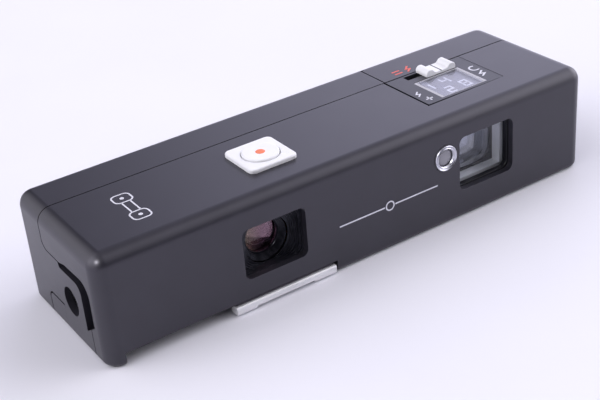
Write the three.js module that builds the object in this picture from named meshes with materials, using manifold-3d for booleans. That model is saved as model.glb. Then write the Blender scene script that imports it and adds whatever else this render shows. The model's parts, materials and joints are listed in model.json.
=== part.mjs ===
// A 110-cartridge pocket camera: a flat moulded box with its lens and viewfinder on the narrow front,
// a wrap-around film door at the rear left, and a film-advance slide along the lower front edge.
// Millimetres. +X runs to the right seen from the front, +Y to the rear, +Z up.
// The origin is the middle of the footprint, on the surface that the camera lies on.
import * as THREE from "three";
import { mergeVertices } from "three/addons/utils/BufferGeometryUtils.js";
import Module from "manifold-3d";

const wasm = await Module();
wasm.setup();

// ---------------------------------------------------------------- driving dimensions
const LENGTH = 134;
const DEPTH = 39;
const HEIGHT = 27;
const WALL = 1.6;
const CORNER_R = 3.5; // vertical corners, seen from above
const TOP_R = 3.3; // rounding round the top
const FOOT_R = 1.4; // rounding round the bottom
const SEAM = 0.35; // gap between two fixed mouldings
const DOOR_GAP = 0.3; // gap round the moving film door
const RUN = 0.4; // clearance beside a sliding piece
const FIT = 0.06; // radial clearance of a pin in its hole

const LEFT = -LENGTH / 2;
const RIGHT = LENGTH / 2;
const FRONT = -DEPTH / 2;
const BACK = DEPTH / 2;
const FRONT_IN = FRONT + WALL;
const BACK_IN = BACK - WALL;
const LEFT_IN = LEFT + WALL;
const RIGHT_IN = RIGHT - WALL;
const TOP_IN = HEIGHT - WALL;
const PROUD = 0.4; // how far the trim stands off the front and the back

// film door and its hinge
const SEAM_Y = 7.2; // front edge of the door and of the rear housing
const DOOR_END_X = 25.8; // cross seam, and the hinge axis
const HINGE_Y = BACK - 1.3;
const BARREL_R = 1.3;
const HINGE_PIN_R = 0.6;
const KNUCKLE_LOW_Z = 7.6;
const KNUCKLE_HIGH_Z = 18.4;

// base and film-advance slide
const BASE_TOP = 1.6;
const CUT_LEFT = -63.1; // cut-out in the lower front edge that the slide runs in
const CUT_RIGHT = -9.4;
const CUT_TOP = 3.15;
const CUT_BACK = -9;
const GRIP_LEFT = -36.4;
const GRIP_RIGHT = -10;
const GEAR_Z0 = 1.95;
const GEAR_Z1 = 3.15;
const FLOOR_Z0 = 3.6; // chassis floor, above the gears
const FLOOR_Z1 = 4.6;

// gear train, all of one module
const GEAR_MODULE = 0.7;
const ADDENDUM = 0.5;
const DEDENDUM = 0.78;
const BACKLASH = 0.16;
const PRESSURE = THREE.MathUtils.degToRad(20);
const RACK_PITCH_Y = -5.6;
const RACK_LEFT = -39.5;
const RACK_RIGHT = -11;
const PINION_X = -37.2;
const PINION_TEETH = 12;
const IDLER_TEETH = 14;
const TAKEUP_TEETH = 14;
const AXLE_R = 0.9;

// film chamber, for a cartridge with a round chamber at each end
const CHAMBER_TOP = 24.5;
const CHAMBER_FRONT = 3;
const FILM_Y = 13; // film plane
const TAKEUP_X = -50.7;
const TAKEUP_Y = 10.2;
const CHAMBER_WALL = 1.2;
const CHAMBER_XS = [-60.5, -42.2, -9, 9.3]; // left faces of the upright chamber walls

// taking lens and shutter
const LENS_X = -25;
const LENS_Z = 13.4;
const LENS_WIN_Z = 14;
const LENS_WIN_W = 16.2;
const LENS_WIN_H = 12.3;
const BARREL_OUT_R = 5.6;
const ELEMENT_R = 4.5;
const LENS_FACE = -14.9; // front of the lens barrel

// viewfinder and light sensor
const FINDER_X = 35.15;
const FINDER_Z = 14.3;
const FINDER_WIN_W = 16.7;
const FINDER_WIN_H = 14;
const OBJECTIVE_W = 13.2; // the finder's front lens
const OBJECTIVE_H = 11;
const OBJECTIVE_R = 2.6;
const OBJECTIVE_FRONT = -12.9;
const OBJECTIVE_REAR = -10.3;
const SENSOR_X = 22.6;
const SENSOR_Z = 17.7;
const SENSOR_R = 3.2;

// release
const RELEASE_X = -18.1;
const RELEASE_Y = -4.9;
const PLATE_W = 12.4;
const PLATE_D = 12.2;
const PLATE_TOP = HEIGHT + 1;
const BUTTON_R = 4.3;
const BUTTON_TOP = PLATE_TOP + 0.4;
const LEVER_X = -7;
const LEVER_Z = 23.4;
const SPRING_SEAT_Z = 21.6;

// focus slider and its scale
const PANEL_LEFT = 25.9;
const PANEL_RIGHT = 49.2;
const PANEL_FRONT = -9.8;
const PANEL_BACK = 6.95;
const PANEL_GAP = 0.6; // shadow gap along its left edge, narrowing along its front edge
const PANEL_GAP_RIGHT = 0.2;
const PANEL_BOTTOM = 25.5;
const PANE_BOTTOM = 26.45; // underside of the clear window in the panel
const SCALE_LEFT = 30.6;
const SCALE_RIGHT = 44.9;
const SCALE_FRONT = -9;
const SCALE_BACK = 2.1;
const SLOT_LEFT = 31;
const SLOT_RIGHT = 42.2;
const SLOT_FRONT = 4.25;
const SLOT_BACK = 6.35;
const KNOB_LEFT = 35.2;
const KNOB_RIGHT = 44.4;
const STEM_LEFT = 36.6;
const STEM_RIGHT = 41.8;
const FOCUS_TRAVEL = 5.2;
const LENS_TRAVEL = 0.45;
const CAM_PIN_X = LENS_X - 3;
const CAM_PIN_Y = -12;

// battery
const CELL_X = 56.5;
const CELL_Z = 13.5;
const CELL_R = 6.5;
const CELL_FRONT = -9.5;
const CELL_LENGTH = 25;
const CAP_R = 7.4;

// strap and tripod socket in the door's end wall, and the latch tab beside it
const SOCKET_Y = -4.3;
const SOCKET_Z = 9.9;
const SOCKET_MOUTH_R = 3.4;
const SOCKET_OUT_R = 4.4;
const LATCH_FRONT = 0.6;
const LATCH_BACK = 8.2;
const LATCH_TOP = 6.3;

// ---------------------------------------------------------------- solids
const ROUND = 11; // curve segments per half turn on large rounds
const FINE = 6; // the same on pins and screws

function solid(geometry) {
  const bare = geometry.index ? geometry.clone() : geometry;
  bare.deleteAttribute("normal");
  bare.deleteAttribute("uv");
  const merged = mergeVertices(bare, 1e-4);
  const mesh = new wasm.Mesh({
    numProp: 3,
    vertProperties: new Float32Array(merged.attributes.position.array),
    triVerts: new Uint32Array(merged.index.array),
  });
  return new wasm.Manifold(mesh);
}

function box(x0, x1, y0, y1, z0, z1) {
  const geometry = new THREE.BoxGeometry(x1 - x0, y1 - y0, z1 - z0);
  return solid(geometry.translate((x0 + x1) / 2, (y0 + y1) / 2, (z0 + z1) / 2));
}

// A shape drawn in X and Y, from height z0 to z1.
function prismZ(shape, z0, z1, segments = ROUND) {
  const options = { depth: z1 - z0, bevelEnabled: false, curveSegments: segments };
  return solid(new THREE.ExtrudeGeometry(shape, options).translate(0, 0, z0));
}

// A shape drawn in X and Z, from y0 to y1.
function prismY(shape, y0, y1, segments = ROUND) {
  const options = { depth: y1 - y0, bevelEnabled: false, curveSegments: segments };
  const geometry = new THREE.ExtrudeGeometry(shape, options);
  return solid(geometry.rotateX(Math.PI / 2).translate(0, y1, 0));
}

// A shape drawn in Y and Z, from x0 to x1.
function prismX(shape, x0, x1, segments = ROUND) {
  const options = { depth: x1 - x0, bevelEnabled: false, curveSegments: segments };
  const axes = new THREE.Matrix4().makeBasis(
    new THREE.Vector3(0, 1, 0),
    new THREE.Vector3(0, 0, 1),
    new THREE.Vector3(1, 0, 0),
  );
  return solid(new THREE.ExtrudeGeometry(shape, options).applyMatrix4(axes).translate(x0, 0, 0));
}

function circle(x, y, r) {
  return new THREE.Shape().absarc(x, y, r, 0, 2 * Math.PI, false);
}

function polygon(points) {
  return new THREE.Shape(points.map(([x, y]) => new THREE.Vector2(x, y)));
}

function roundedRect(x, y, w, h, r) {
  const shape = new THREE.Shape();
  const [x0, x1, y0, y1] = [x - w / 2, x + w / 2, y - h / 2, y + h / 2];
  shape.moveTo(x0 + r, y0);
  shape.absarc(x1 - r, y0 + r, r, -Math.PI / 2, 0, false);
  shape.absarc(x1 - r, y1 - r, r, 0, Math.PI / 2, false);
  shape.absarc(x0 + r, y1 - r, r, Math.PI / 2, Math.PI, false);
  shape.absarc(x0 + r, y0 + r, r, Math.PI, 1.5 * Math.PI, false);
  return shape;
}

// A rounded block: the plan outline swept up with a quarter round at top and bottom.
function roundedBlock(w, d, h, corner, bevel, z0) {
  const inner = roundedRect(0, 0, w - 2 * bevel, d - 2 * bevel, corner - bevel);
  const options = {
    depth: h - 2 * bevel,
    bevelSize: bevel,
    bevelThickness: bevel,
    bevelSegments: 4,
    curveSegments: 3,
  };
  return solid(new THREE.ExtrudeGeometry(inner, options).translate(0, 0, z0 + bevel));
}

// The body's outer form, moved inwards by inset on every side.
function bodyForm(inset) {
  const [w, d, h] = [LENGTH - 2 * inset, DEPTH - 2 * inset, HEIGHT - 2 * inset];
  const middle = HEIGHT / 2;
  const corner = CORNER_R - inset;
  const upper = roundedBlock(w, d, h, corner, TOP_R - inset, inset);
  const lower = roundedBlock(w, d, h, corner, Math.max(FOOT_R - inset, 0.2), inset);
  const above = box(-w, w, -d, d, middle, 2 * HEIGHT);
  const below = box(-w, w, -d, d, -HEIGHT, middle);
  return upper.intersect(above).add(lower.intersect(below));
}

// A profile of [radius, height] pairs turned about the Z axis, in either order of its points.
function turnedZ(profile, segments = 2 * ROUND) {
  const points = profile.map(([r, z]) => new THREE.Vector2(r, z));
  const ordered = THREE.ShapeUtils.area(points) < 0 ? points.reverse() : points;
  return new THREE.LatheGeometry(ordered, segments).rotateX(Math.PI / 2);
}

// The same about an axis along Y through x and z, for [radius, y] pairs.
function turnedY(profile, x, z, segments = 2 * ROUND) {
  return solid(turnedZ(profile, segments).rotateX(-Math.PI / 2).translate(x, 0, z));
}

// A wire coil along +Z from its foot.
function coil(radius, wire, length, turns) {
  class Helix extends THREE.Curve {
    getPoint(t, target = new THREE.Vector3()) {
      const a = 2 * Math.PI * turns * t;
      return target.set(radius * Math.cos(a), radius * Math.sin(a), wire + (length - 2 * wire) * t);
    }
  }
  const section = new THREE.Shape().absarc(0, 0, wire, 0, 2 * Math.PI, false);
  const options = { steps: 9 * turns, extrudePath: new Helix(), curveSegments: 3 };
  return new THREE.ExtrudeGeometry(section, options);
}

// ---------------------------------------------------------------- gears
const PITCH = Math.PI * GEAR_MODULE;
const pitchRadius = (teeth) => (GEAR_MODULE * teeth) / 2;
const involute = (a) => Math.tan(a) - a;

// Spur gear outline about the origin, with a tooth centred on angle phase.
function gearShape(teeth, phase) {
  const rp = pitchRadius(teeth);
  const base = rp * Math.cos(PRESSURE);
  const outer = rp + ADDENDUM;
  const root = rp - DEDENDUM;
  const half = (PITCH / 2 - BACKLASH) / (2 * rp) + involute(PRESSURE);
  const flank = [0, 0.5, 1].map((t) => {
    const r = base + (outer - base) * t;
    return [r, half - involute(Math.acos(Math.min(1, base / r)))];
  });
  const points = [];
  for (let i = 0; i < teeth; i++) {
    const centre = phase + (2 * Math.PI * i) / teeth;
    const put = (r, a) => points.push([r * Math.cos(centre + a), r * Math.sin(centre + a)]);
    put(root, -flank[0][1] - 0.02);
    flank.forEach(([r, a]) => put(r, -a));
    flank.slice().reverse().forEach(([r, a]) => put(r, a));
    put(root, flank[0][1] + 0.02);
  }
  return polygon(points);
}

// The phase that puts gear b in mesh with gear a, b lying at angle direction from a.
function meshPhase(phaseA, teethA, teethB, direction) {
  const turnA = ((direction - phaseA) * teethA) / (2 * Math.PI);
  return direction + Math.PI - ((0.5 - turnA) * 2 * Math.PI) / teethB;
}

const pinionR = pitchRadius(PINION_TEETH);
const PINION_Y = RACK_PITCH_Y + pinionR;
const rackFirst = RACK_LEFT + PITCH / 2; // centre of the rack's first tooth
const pinionPhase = (rackFirst - PINION_X + PITCH / 2) / pinionR - Math.PI / 2;

// The idler stands where it meets both the pinion and the take-up gear.
const reachA = pinionR + pitchRadius(IDLER_TEETH);
const reachB = pitchRadius(IDLER_TEETH) + pitchRadius(TAKEUP_TEETH);
const spanX = TAKEUP_X - PINION_X;
const spanY = TAKEUP_Y - PINION_Y;
const span = Math.hypot(spanX, spanY);
const along = (reachA ** 2 - reachB ** 2 + span ** 2) / (2 * span);
const aside = Math.sqrt(reachA ** 2 - along ** 2);
const IDLER_X = PINION_X + (along * spanX - aside * spanY) / span;
const IDLER_Y = PINION_Y + (along * spanY + aside * spanX) / span;
const toIdler = Math.atan2(IDLER_Y - PINION_Y, IDLER_X - PINION_X);
const idlerPhase = meshPhase(pinionPhase, PINION_TEETH, IDLER_TEETH, toIdler);
const toTakeup = Math.atan2(TAKEUP_Y - IDLER_Y, TAKEUP_X - IDLER_X);
const takeupPhase = meshPhase(idlerPhase, IDLER_TEETH, TAKEUP_TEETH, toTakeup);

// ---------------------------------------------------------------- regions that divide the shell
// The film door's share of the left end wall, in Y and Z, grown by grow towards the housing.
function doorEndShape(grow) {
  const shape = new THREE.Shape();
  const far = 2 * HEIGHT;
  const shelf = 17.9 + grow;
  const tab = -10.6 - grow;
  const toe = -12.8 - grow;
  shape.moveTo(far, -far);
  shape.lineTo(far, far);
  shape.lineTo(SEAM_Y + 0.2 - grow, far);
  shape.lineTo(SEAM_Y + 0.2 - grow, shelf + 2.6);
  shape.absarc(SEAM_Y - 2.4 - grow, shelf + 2.6, 2.6, 0, -Math.PI / 2, true);
  shape.lineTo(-0.4 - grow, shelf);
  shape.lineTo(-0.9 - grow, 16.7 + grow);
  shape.absarc(tab + 2.4, 14.3 + grow, 2.4, Math.PI / 2, Math.PI, false);
  shape.lineTo(tab, 5.8 + grow);
  shape.lineTo(toe, 7.2 + grow);
  shape.lineTo(toe, -far);
  return shape;
}

// The finger notch round the door's end tab, in Y and Z.
function notchShape() {
  const shape = new THREE.Shape();
  shape.moveTo(-0.2, 16);
  shape.lineTo(-0.2, 18.2);
  shape.lineTo(-4.2, 19.2);
  shape.absarc(-11.4, 15.7, 3.8, Math.PI / 2, Math.PI, false);
  shape.lineTo(-15.2, 8.7);
  shape.lineTo(-10.4, 5.7);
  shape.lineTo(-10.4, 12);
  return shape;
}

// Everything of the shell that belongs to the film door, grown by grow.
function doorRegion(grow) {
  const far = 2 * LENGTH;
  const rear = box(-far, DOOR_END_X - DOOR_GAP / 2 + grow, SEAM_Y - grow, far, -far, far);
  const end = prismX(doorEndShape(grow), -far, LEFT_IN + grow);
  return rear.add(end);
}

const shell = bodyForm(0).subtract(bodyForm(WALL));
const hingeCylinder = (r, z0, z1) => prismZ(circle(DOOR_END_X, HINGE_Y, r), z0, z1, FINE);
const baseOpening = box(LEFT_IN + 0.2, RIGHT_IN - 0.2, FRONT_IN + 0.2, BACK_IN - 0.2, -1, BASE_TOP + 0.1);
const frontWindow = (x, z, w, h, r) => prismY(roundedRect(x, z, w, h, r), FRONT - 1, FRONT_IN + 1, 4);

// ---------------------------------------------------------------- outer mouldings
function frontHousing() {
  const rearRight = box(DOOR_END_X - 1, LENGTH, SEAM_Y - SEAM, LENGTH, -1, 2 * HEIGHT);
  const cut = box(CUT_LEFT, CUT_RIGHT, FRONT - 1, FRONT_IN + 0.3, -1, CUT_TOP);
  const panelPlan = polygon([
    [PANEL_LEFT - PANEL_GAP, PANEL_FRONT - PANEL_GAP],
    [PANEL_RIGHT + PANEL_GAP_RIGHT, PANEL_FRONT - PANEL_GAP_RIGHT],
    [PANEL_RIGHT + PANEL_GAP_RIGHT, SEAM_Y],
    [PANEL_LEFT - PANEL_GAP, SEAM_Y],
  ]);
  const panel = prismZ(panelPlan, PANEL_BOTTOM - 1, HEIGHT + 1);
  const slideWindow = box(CUT_LEFT, CUT_RIGHT, FRONT - 1, FRONT_IN + 2, -1, BASE_TOP);
  return shell
    .subtract(doorRegion(DOOR_GAP))
    .subtract(prismX(notchShape(), LEFT - 1, LEFT_IN + 0.3))
    .subtract(rearRight)
    .subtract(baseOpening)
    .subtract(cut)
    .subtract(slideWindow)
    .subtract(frontWindow(LENS_X, LENS_WIN_Z, LENS_WIN_W, LENS_WIN_H, 1.6))
    .subtract(frontWindow(FINDER_X, FINDER_Z, FINDER_WIN_W, FINDER_WIN_H, 1.8))
    .subtract(prismY(circle(SENSOR_X, SENSOR_Z, SENSOR_R + 0.12), FRONT - 1, FRONT_IN + 1))
    .subtract(prismZ(circle(RELEASE_X, RELEASE_Y, 5.4), TOP_IN - 1, HEIGHT + 1))
    .subtract(panel);
}

function rearHousing() {
  const share = box(DOOR_END_X + 0.2, LENGTH, SEAM_Y, LENGTH, -1, 2 * HEIGHT);
  const eyepiece = prismY(roundedRect(FINDER_X, FINDER_Z, 13.4, 11.4, 2.2), BACK_IN - 1, BACK + 1, 4);
  const cap = prismY(circle(CELL_X, CELL_Z, CAP_R + 0.3), BACK_IN - 1, BACK + 1);
  const web = box(DOOR_END_X, DOOR_END_X + 2.6, HINGE_Y - 0.7, BACK_IN + 0.4, KNUCKLE_LOW_Z, KNUCKLE_HIGH_Z);
  const knuckle = hingeCylinder(BARREL_R, KNUCKLE_LOW_Z, KNUCKLE_HIGH_Z);
  return shell
    .intersect(share)
    .subtract(baseOpening)
    .subtract(eyepiece)
    .subtract(cap)
    .subtract(hingeCylinder(BARREL_R + RUN, -1, 2 * HEIGHT))
    .add(web)
    .add(knuckle)
    .subtract(hingeCylinder(HINGE_PIN_R + FIT, -1, 2 * HEIGHT));
}

function filmDoor() {
  const reach = BARREL_R + RUN;
  const relief = box(DOOR_END_X - 1.55, DOOR_END_X + 1, BACK_IN - 0.3, BACK + 1, -1, 2 * HEIGHT);
  const bodyKnuckle = hingeCylinder(reach, KNUCKLE_LOW_Z - 0.3, KNUCKLE_HIGH_Z + 0.3);
  const innerCorner = box(
    DOOR_END_X - reach,
    DOOR_END_X + 1,
    HINGE_Y - 1.2,
    BACK + 1,
    KNUCKLE_LOW_Z - 0.3,
    KNUCKLE_HIGH_Z + 0.3,
  );
  const knuckles = [
    [0, KNUCKLE_LOW_Z - 0.3],
    [KNUCKLE_HIGH_Z + 0.3, HEIGHT],
  ].map(([z0, z1]) =>
    hingeCylinder(BARREL_R, z0, z1)
      .add(box(DOOR_END_X - 2.2, DOOR_END_X, HINGE_Y - 0.8, HINGE_Y + 0.5, z0, z1))
      .intersect(bodyForm(0)),
  );
  const window = prismY(roundedRect(LENS_X, LENS_Z, 22, 8, 1.5), BACK_IN - 1, BACK + 1, 4);
  const mouth = prismX(circle(SOCKET_Y, SOCKET_Z, SOCKET_MOUTH_R), LEFT - 1, LEFT_IN + 1);
  const latchHole = new THREE.Shape()
    .moveTo(LATCH_FRONT - 0.3, -1)
    .lineTo(LATCH_BACK + 0.3, -1)
    .absarc(LATCH_BACK + 0.3 - 2, LATCH_TOP + 0.3 - 2, 2, 0, Math.PI / 2, false)
    .lineTo(LATCH_FRONT - 0.3, LATCH_TOP + 0.3);
  const springSeat = box(-62.6, -61.8, 3.8, 10.2, 4.9, 8.2);
  const seatArm = box(LEFT_IN - 0.2, -61.8, 9.2, 10.2, 4.9, 8.2);
  return shell
    .intersect(doorRegion(0))
    .subtract(baseOpening)
    .subtract(relief)
    .subtract(bodyKnuckle)
    .subtract(innerCorner)
    .add(knuckles[0])
    .add(knuckles[1])
    .subtract(hingeCylinder(HINGE_PIN_R + FIT, 2.4, 23.2))
    .subtract(window)
    .subtract(mouth)
    .subtract(prismX(latchHole, LEFT - 1, LEFT_IN + 0.3))
    .add(springSeat)
    .add(seatArm);
}

const SCREWS = [
  [-60.4, -2],
  [-4.8, -13.4],
  [61.2, -13.6],
  [61.2, 13.6],
];

function basePlate() {
  const [x0, x1, y0, y1] = [-64.1, RIGHT_IN - 0.5, FRONT_IN + 0.5, BACK_IN - 0.5];
  const outline = polygon([
    [x0, CUT_BACK],
    [CUT_RIGHT + 0.3, CUT_BACK],
    [CUT_RIGHT + 0.3, y0],
    [x1, y0],
    [x1, y1],
    [DOOR_END_X + 2.2, y1],
    [DOOR_END_X + 2.2, HINGE_Y - 2.2],
    [DOOR_END_X - 3, HINGE_Y - 2.2],
    [DOOR_END_X - 3, y1],
    [x0, y1],
  ]);
  let plate = prismZ(outline, 0, BASE_TOP);
  for (const [x, y] of SCREWS) {
    plate = plate
      .subtract(prismZ(circle(x, y, 1), -1, BASE_TOP + 1, FINE))
      .subtract(prismZ(circle(x, y, 1.9), -1, 0.9, FINE));
  }
  return plate;
}

function baseScrew() {
  const head = prismZ(circle(0, 0, 1.75), 0.1, 0.85, FINE);
  const slot = box(-2, 2, -0.25, 0.25, 0, 0.45);
  return head.subtract(slot).add(prismZ(circle(0, 0, 0.85), 0.8, FLOOR_Z1 - 0.2, FINE));
}

// ---------------------------------------------------------------- inner chassis
function chassis() {
  const floorShape = polygon([
    [-64.1, -17.4],
    [64.6, -17.4],
    [64.6, 17.3],
    [DOOR_END_X + 2.2, 17.3],
    [DOOR_END_X + 2.2, SEAM_Y],
    [10.5, SEAM_Y],
    [10.5, 17.2],
    [-60.5, 17.2],
    [-60.5, SEAM_Y],
    [-64.1, SEAM_Y],
  ]);
  const [rear, roof] = [16.9, 24.9];
  const low = FLOOR_Z1 - 0.2;
  const [first, gateLeft, gateRight, last] = CHAMBER_XS;
  const end = last + CHAMBER_WALL;
  let made = prismZ(floorShape, FLOOR_Z0, FLOOR_Z1)
    .add(box(first, end, CHAMBER_FRONT - CHAMBER_WALL, rear, CHAMBER_TOP, roof))
    .add(box(first, gateLeft + CHAMBER_WALL, CHAMBER_FRONT - CHAMBER_WALL, CHAMBER_FRONT, low, roof))
    .add(box(gateRight, end, CHAMBER_FRONT - CHAMBER_WALL, CHAMBER_FRONT, low, roof));
  for (const x of CHAMBER_XS) {
    const isOuter = x === first || x === last;
    const reach = isOuter ? rear : FILM_Y;
    made = made.add(box(x, x + CHAMBER_WALL, CHAMBER_FRONT - CHAMBER_WALL, reach, low, roof));
  }
  const filmGate = box(gateLeft, gateRight + CHAMBER_WALL, FILM_Y - 1, FILM_Y, low, roof);
  const tunnel = box(LENS_X - 10.4, LENS_X + 10.4, -5.6, FILM_Y, LENS_Z - 7.8, SPRING_SEAT_Z);
  const bulkhead = box(-40, -4.6, -6.7, -5.5, low, SPRING_SEAT_Z);
  const leverEar = box(LEVER_X - 2, -4.6, -6.7, -5.5, SPRING_SEAT_Z - 0.6, roof);
  const springSeat = box(RELEASE_X - 4.2, RELEASE_X + 2.4, -8.6, -1.4, SPRING_SEAT_Z - 1, SPRING_SEAT_Z);
  const lightPath = box(LENS_X - 8.5, LENS_X + 8.5, -7, FILM_Y + 1, LENS_Z - 6.5, LENS_Z + 6.5);
  const endWall = box(-64.1, -63.1, -16.8, 0.8, low, 20.6);
  const bushBoss = prismX(circle(SOCKET_Y, SOCKET_Z, SOCKET_OUT_R + 1.1), -64.1, -61.4);
  made = made
    .add(filmGate)
    .add(tunnel)
    .add(bulkhead)
    .add(leverEar)
    .add(springSeat)
    .subtract(lightPath)
    .add(endWall)
    .add(bushBoss)
    .subtract(prismX(circle(SOCKET_Y, SOCKET_Z, SOCKET_OUT_R + FIT), -66, -60));
  for (const [x, y] of SCREWS) {
    made = made
      .add(prismZ(circle(x, y, 2.3), BASE_TOP + 0.1, FLOOR_Z1 - 0.3, FINE))
      .subtract(prismZ(circle(x, y, 0.85 + FIT), 0, FLOOR_Z1 + 1, FINE));
  }
  return made
    .subtract(prismZ(circle(TAKEUP_X, TAKEUP_Y, 2.6), 0, FLOOR_Z1 + 1))
    .subtract(prismZ(circle(PINION_X, PINION_Y, AXLE_R + FIT), 0, FLOOR_Z1 + 1, FINE))
    .subtract(prismZ(circle(IDLER_X, IDLER_Y, AXLE_R + FIT), 0, FLOOR_Z1 + 1, FINE))
    .subtract(prismY(circle(LEVER_X, LEVER_Z, 0.6 + FIT), -8, -4, FINE));
}

// ---------------------------------------------------------------- film advance
function advanceSlide() {
  const [x0, x1] = [GRIP_LEFT + 0.4, GRIP_RIGHT - 0.4];
  const lip = box(x0, x1, FRONT + 0.3, -17, 2.4, CUT_TOP - 0.35);
  const plate = box(x0, x1, -17.2, CUT_BACK + 0.6, 2.4, GEAR_Z1);
  const pad = box(x0, x1, -16.8, CUT_BACK - 0.4, 0.4, 2.6);
  const scoop = prismX(circle(-13.1, -3.3, 4.7), x0 + 4, x1 - 4);
  const rackBar = box(RACK_LEFT, RACK_RIGHT, CUT_BACK + 0.1, RACK_PITCH_Y - DEDENDUM, GEAR_Z0, GEAR_Z1);
  const [tip, foot] = [RACK_PITCH_Y + ADDENDUM, RACK_PITCH_Y - DEDENDUM - 0.2];
  const half = (PITCH / 2 - BACKLASH) / 2;
  const slope = Math.tan(PRESSURE);
  let made = plate.add(lip).add(pad).subtract(scoop).add(rackBar);
  for (let x = rackFirst; x + PITCH / 2 <= RACK_RIGHT + 0.01; x += PITCH) {
    const [atTip, atFoot] = [half - ADDENDUM * slope, half + (DEDENDUM + 0.2) * slope];
    const tooth = polygon([
      [x - atFoot, foot],
      [x + atFoot, foot],
      [x + atTip, tip],
      [x - atTip, tip],
    ]);
    made = made.add(prismZ(tooth, GEAR_Z0, GEAR_Z1));
  }
  return made;
}

function advanceGrip() {
  const [y0, y1] = [FRONT - PROUD, -17.1];
  const profile = roundedRect((y0 + y1) / 2, 1.3, y1 - y0, 2, 0.35);
  const relief = box(GRIP_LEFT + 5, GRIP_RIGHT - 6, y0 - 1, y1 + 1, -1, 0.85);
  return prismX(profile, GRIP_LEFT, GRIP_RIGHT, 3).subtract(relief);
}

function spurGear(teeth, phase) {
  const bore = prismZ(circle(0, 0, AXLE_R + FIT), 0, HEIGHT, FINE);
  return prismZ(gearShape(teeth, phase), GEAR_Z0, GEAR_Z1).subtract(bore);
}

function takeupDriver() {
  const gear = prismZ(gearShape(TAKEUP_TEETH, takeupPhase), GEAR_Z0, GEAR_Z1);
  const spindle = prismZ(circle(0, 0, 2.2), GEAR_Z1 - 0.1, 5);
  let claw = prismZ(circle(0, 0, 0.9), 4.9, 6.4, FINE);
  for (let i = 0; i < 3; i++) {
    const arm = new THREE.BoxGeometry(1.9, 0.7, 1.3).translate(0.95, 0, 5.55);
    claw = claw.add(solid(arm.rotateZ((2 * Math.PI * i) / 3)));
  }
  return gear.add(spindle).add(claw);
}

const axle = () => prismZ(circle(0, 0, AXLE_R), BASE_TOP + 0.1, FLOOR_Z1 - 0.1, FINE);

// ---------------------------------------------------------------- lens and shutter
function lensBezel() {
  const block = prismY(roundedRect(LENS_X, LENS_WIN_Z, 20, 16.4, 2), -17.8, -15.2, 4);
  const mouth = prismY(roundedRect(LENS_X, LENS_WIN_Z, 15.4, 11.9, 3), -18, -16.4, 4);
  return block.subtract(mouth).subtract(prismY(circle(LENS_X, LENS_Z, BARREL_OUT_R + 0.5), -30, 0));
}

function lensBarrel() {
  const seat = (r) => r + FIT;
  const tube = turnedY(
    [
      [5.2, LENS_FACE],
      [BARREL_OUT_R, LENS_FACE],
      [BARREL_OUT_R, -9.5],
      [seat(3), -9.5],
      [seat(3), -11],
      [2.4, -11],
      [2.4, -11.15],
      [seat(2.9), -11.15],
      [seat(2.9), -12],
      [seat(ELEMENT_R), -12],
      [seat(ELEMENT_R), -13.8],
      [5.2, LENS_FACE],
    ],
    LENS_X,
    LENS_Z,
  );
  const camPin = prismZ(circle(CAM_PIN_X, CAM_PIN_Y, 0.6), 18, 24.2, FINE);
  return tube.add(camPin);
}

// A lens element turned about Y: rim radius, rim faces, and how far each face bulges.
function element(radius, y0, y1, bulgeFront, bulgeRear) {
  const steps = 3;
  const profile = [];
  for (let i = 0; i <= steps; i++) {
    const r = (radius * i) / steps;
    profile.push([r, y0 - bulgeFront * (1 - (r / radius) ** 2)]);
  }
  for (let i = steps; i >= 0; i--) {
    const r = (radius * i) / steps;
    profile.push([r, y1 + bulgeRear * (1 - (r / radius) ** 2)]);
  }
  return turnedY(profile, LENS_X, LENS_Z, 20);
}

function ringY(outer, inner, y0, y1, x, z) {
  return prismY(circle(x, z, outer), y0, y1).subtract(prismY(circle(x, z, inner), y0 - 1, y1 + 1));
}

const BLADE_X = -34;
const BLADE_Z = 9;

function shutterBase() {
  return box(-38.5, -13.6, -8, -7.2, 5.2, 20.2)
    .subtract(prismY(circle(LENS_X, LENS_Z, 3.1), -9, -6))
    .subtract(prismY(circle(BLADE_X, BLADE_Z, 0.6 + FIT), -9, -6, FINE));
}

function shutterBlade() {
  const [dx, dz] = [LENS_X - BLADE_X, LENS_Z - BLADE_Z];
  const reach = Math.hypot(dx, dz);
  const [nx, nz] = [(-dz / reach) * 1.3, (dx / reach) * 1.3];
  const arm = polygon([
    [BLADE_X + nx, BLADE_Z + nz],
    [BLADE_X - nx, BLADE_Z - nz],
    [LENS_X - nx, LENS_Z - nz],
    [LENS_X + nx, LENS_Z + nz],
  ]);
  return prismY(arm, -8.7, -8.4)
    .add(prismY(circle(LENS_X, LENS_Z, 3.6), -8.7, -8.4))
    .add(prismY(circle(BLADE_X, BLADE_Z, 1.6), -8.7, -8.4))
    .subtract(prismY(circle(BLADE_X, BLADE_Z, 0.6 + FIT), -10, -6, FINE));
}

function shutterMagnet() {
  const winding = prismZ(circle(-15.6, -10.2, 1.7), 5.4, 10.2, FINE);
  const core = prismZ(circle(-15.6, -10.2, 0.7), 4.8, 11.4, FINE);
  return winding.add(core);
}

// ---------------------------------------------------------------- release
function releaseBezel() {
  const plate = roundedRect(RELEASE_X, RELEASE_Y, PLATE_W - 0.7, PLATE_D - 0.7, 1.1);
  const options = { depth: 0.55, bevelSize: 0.35, bevelThickness: 0.35, bevelSegments: 2, curveSegments: 4 };
  const body = solid(new THREE.ExtrudeGeometry(plate, options).translate(0, 0, HEIGHT + 0.1));
  const above = box(-30, 0, -20, 10, HEIGHT + 0.05, PLATE_TOP + 1);
  return body
    .intersect(above)
    .add(prismZ(circle(RELEASE_X, RELEASE_Y, 5.2), 24.9, HEIGHT + 0.5))
    .subtract(prismZ(circle(RELEASE_X, RELEASE_Y, BUTTON_R + 0.15), 20, HEIGHT + 3));
}

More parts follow.
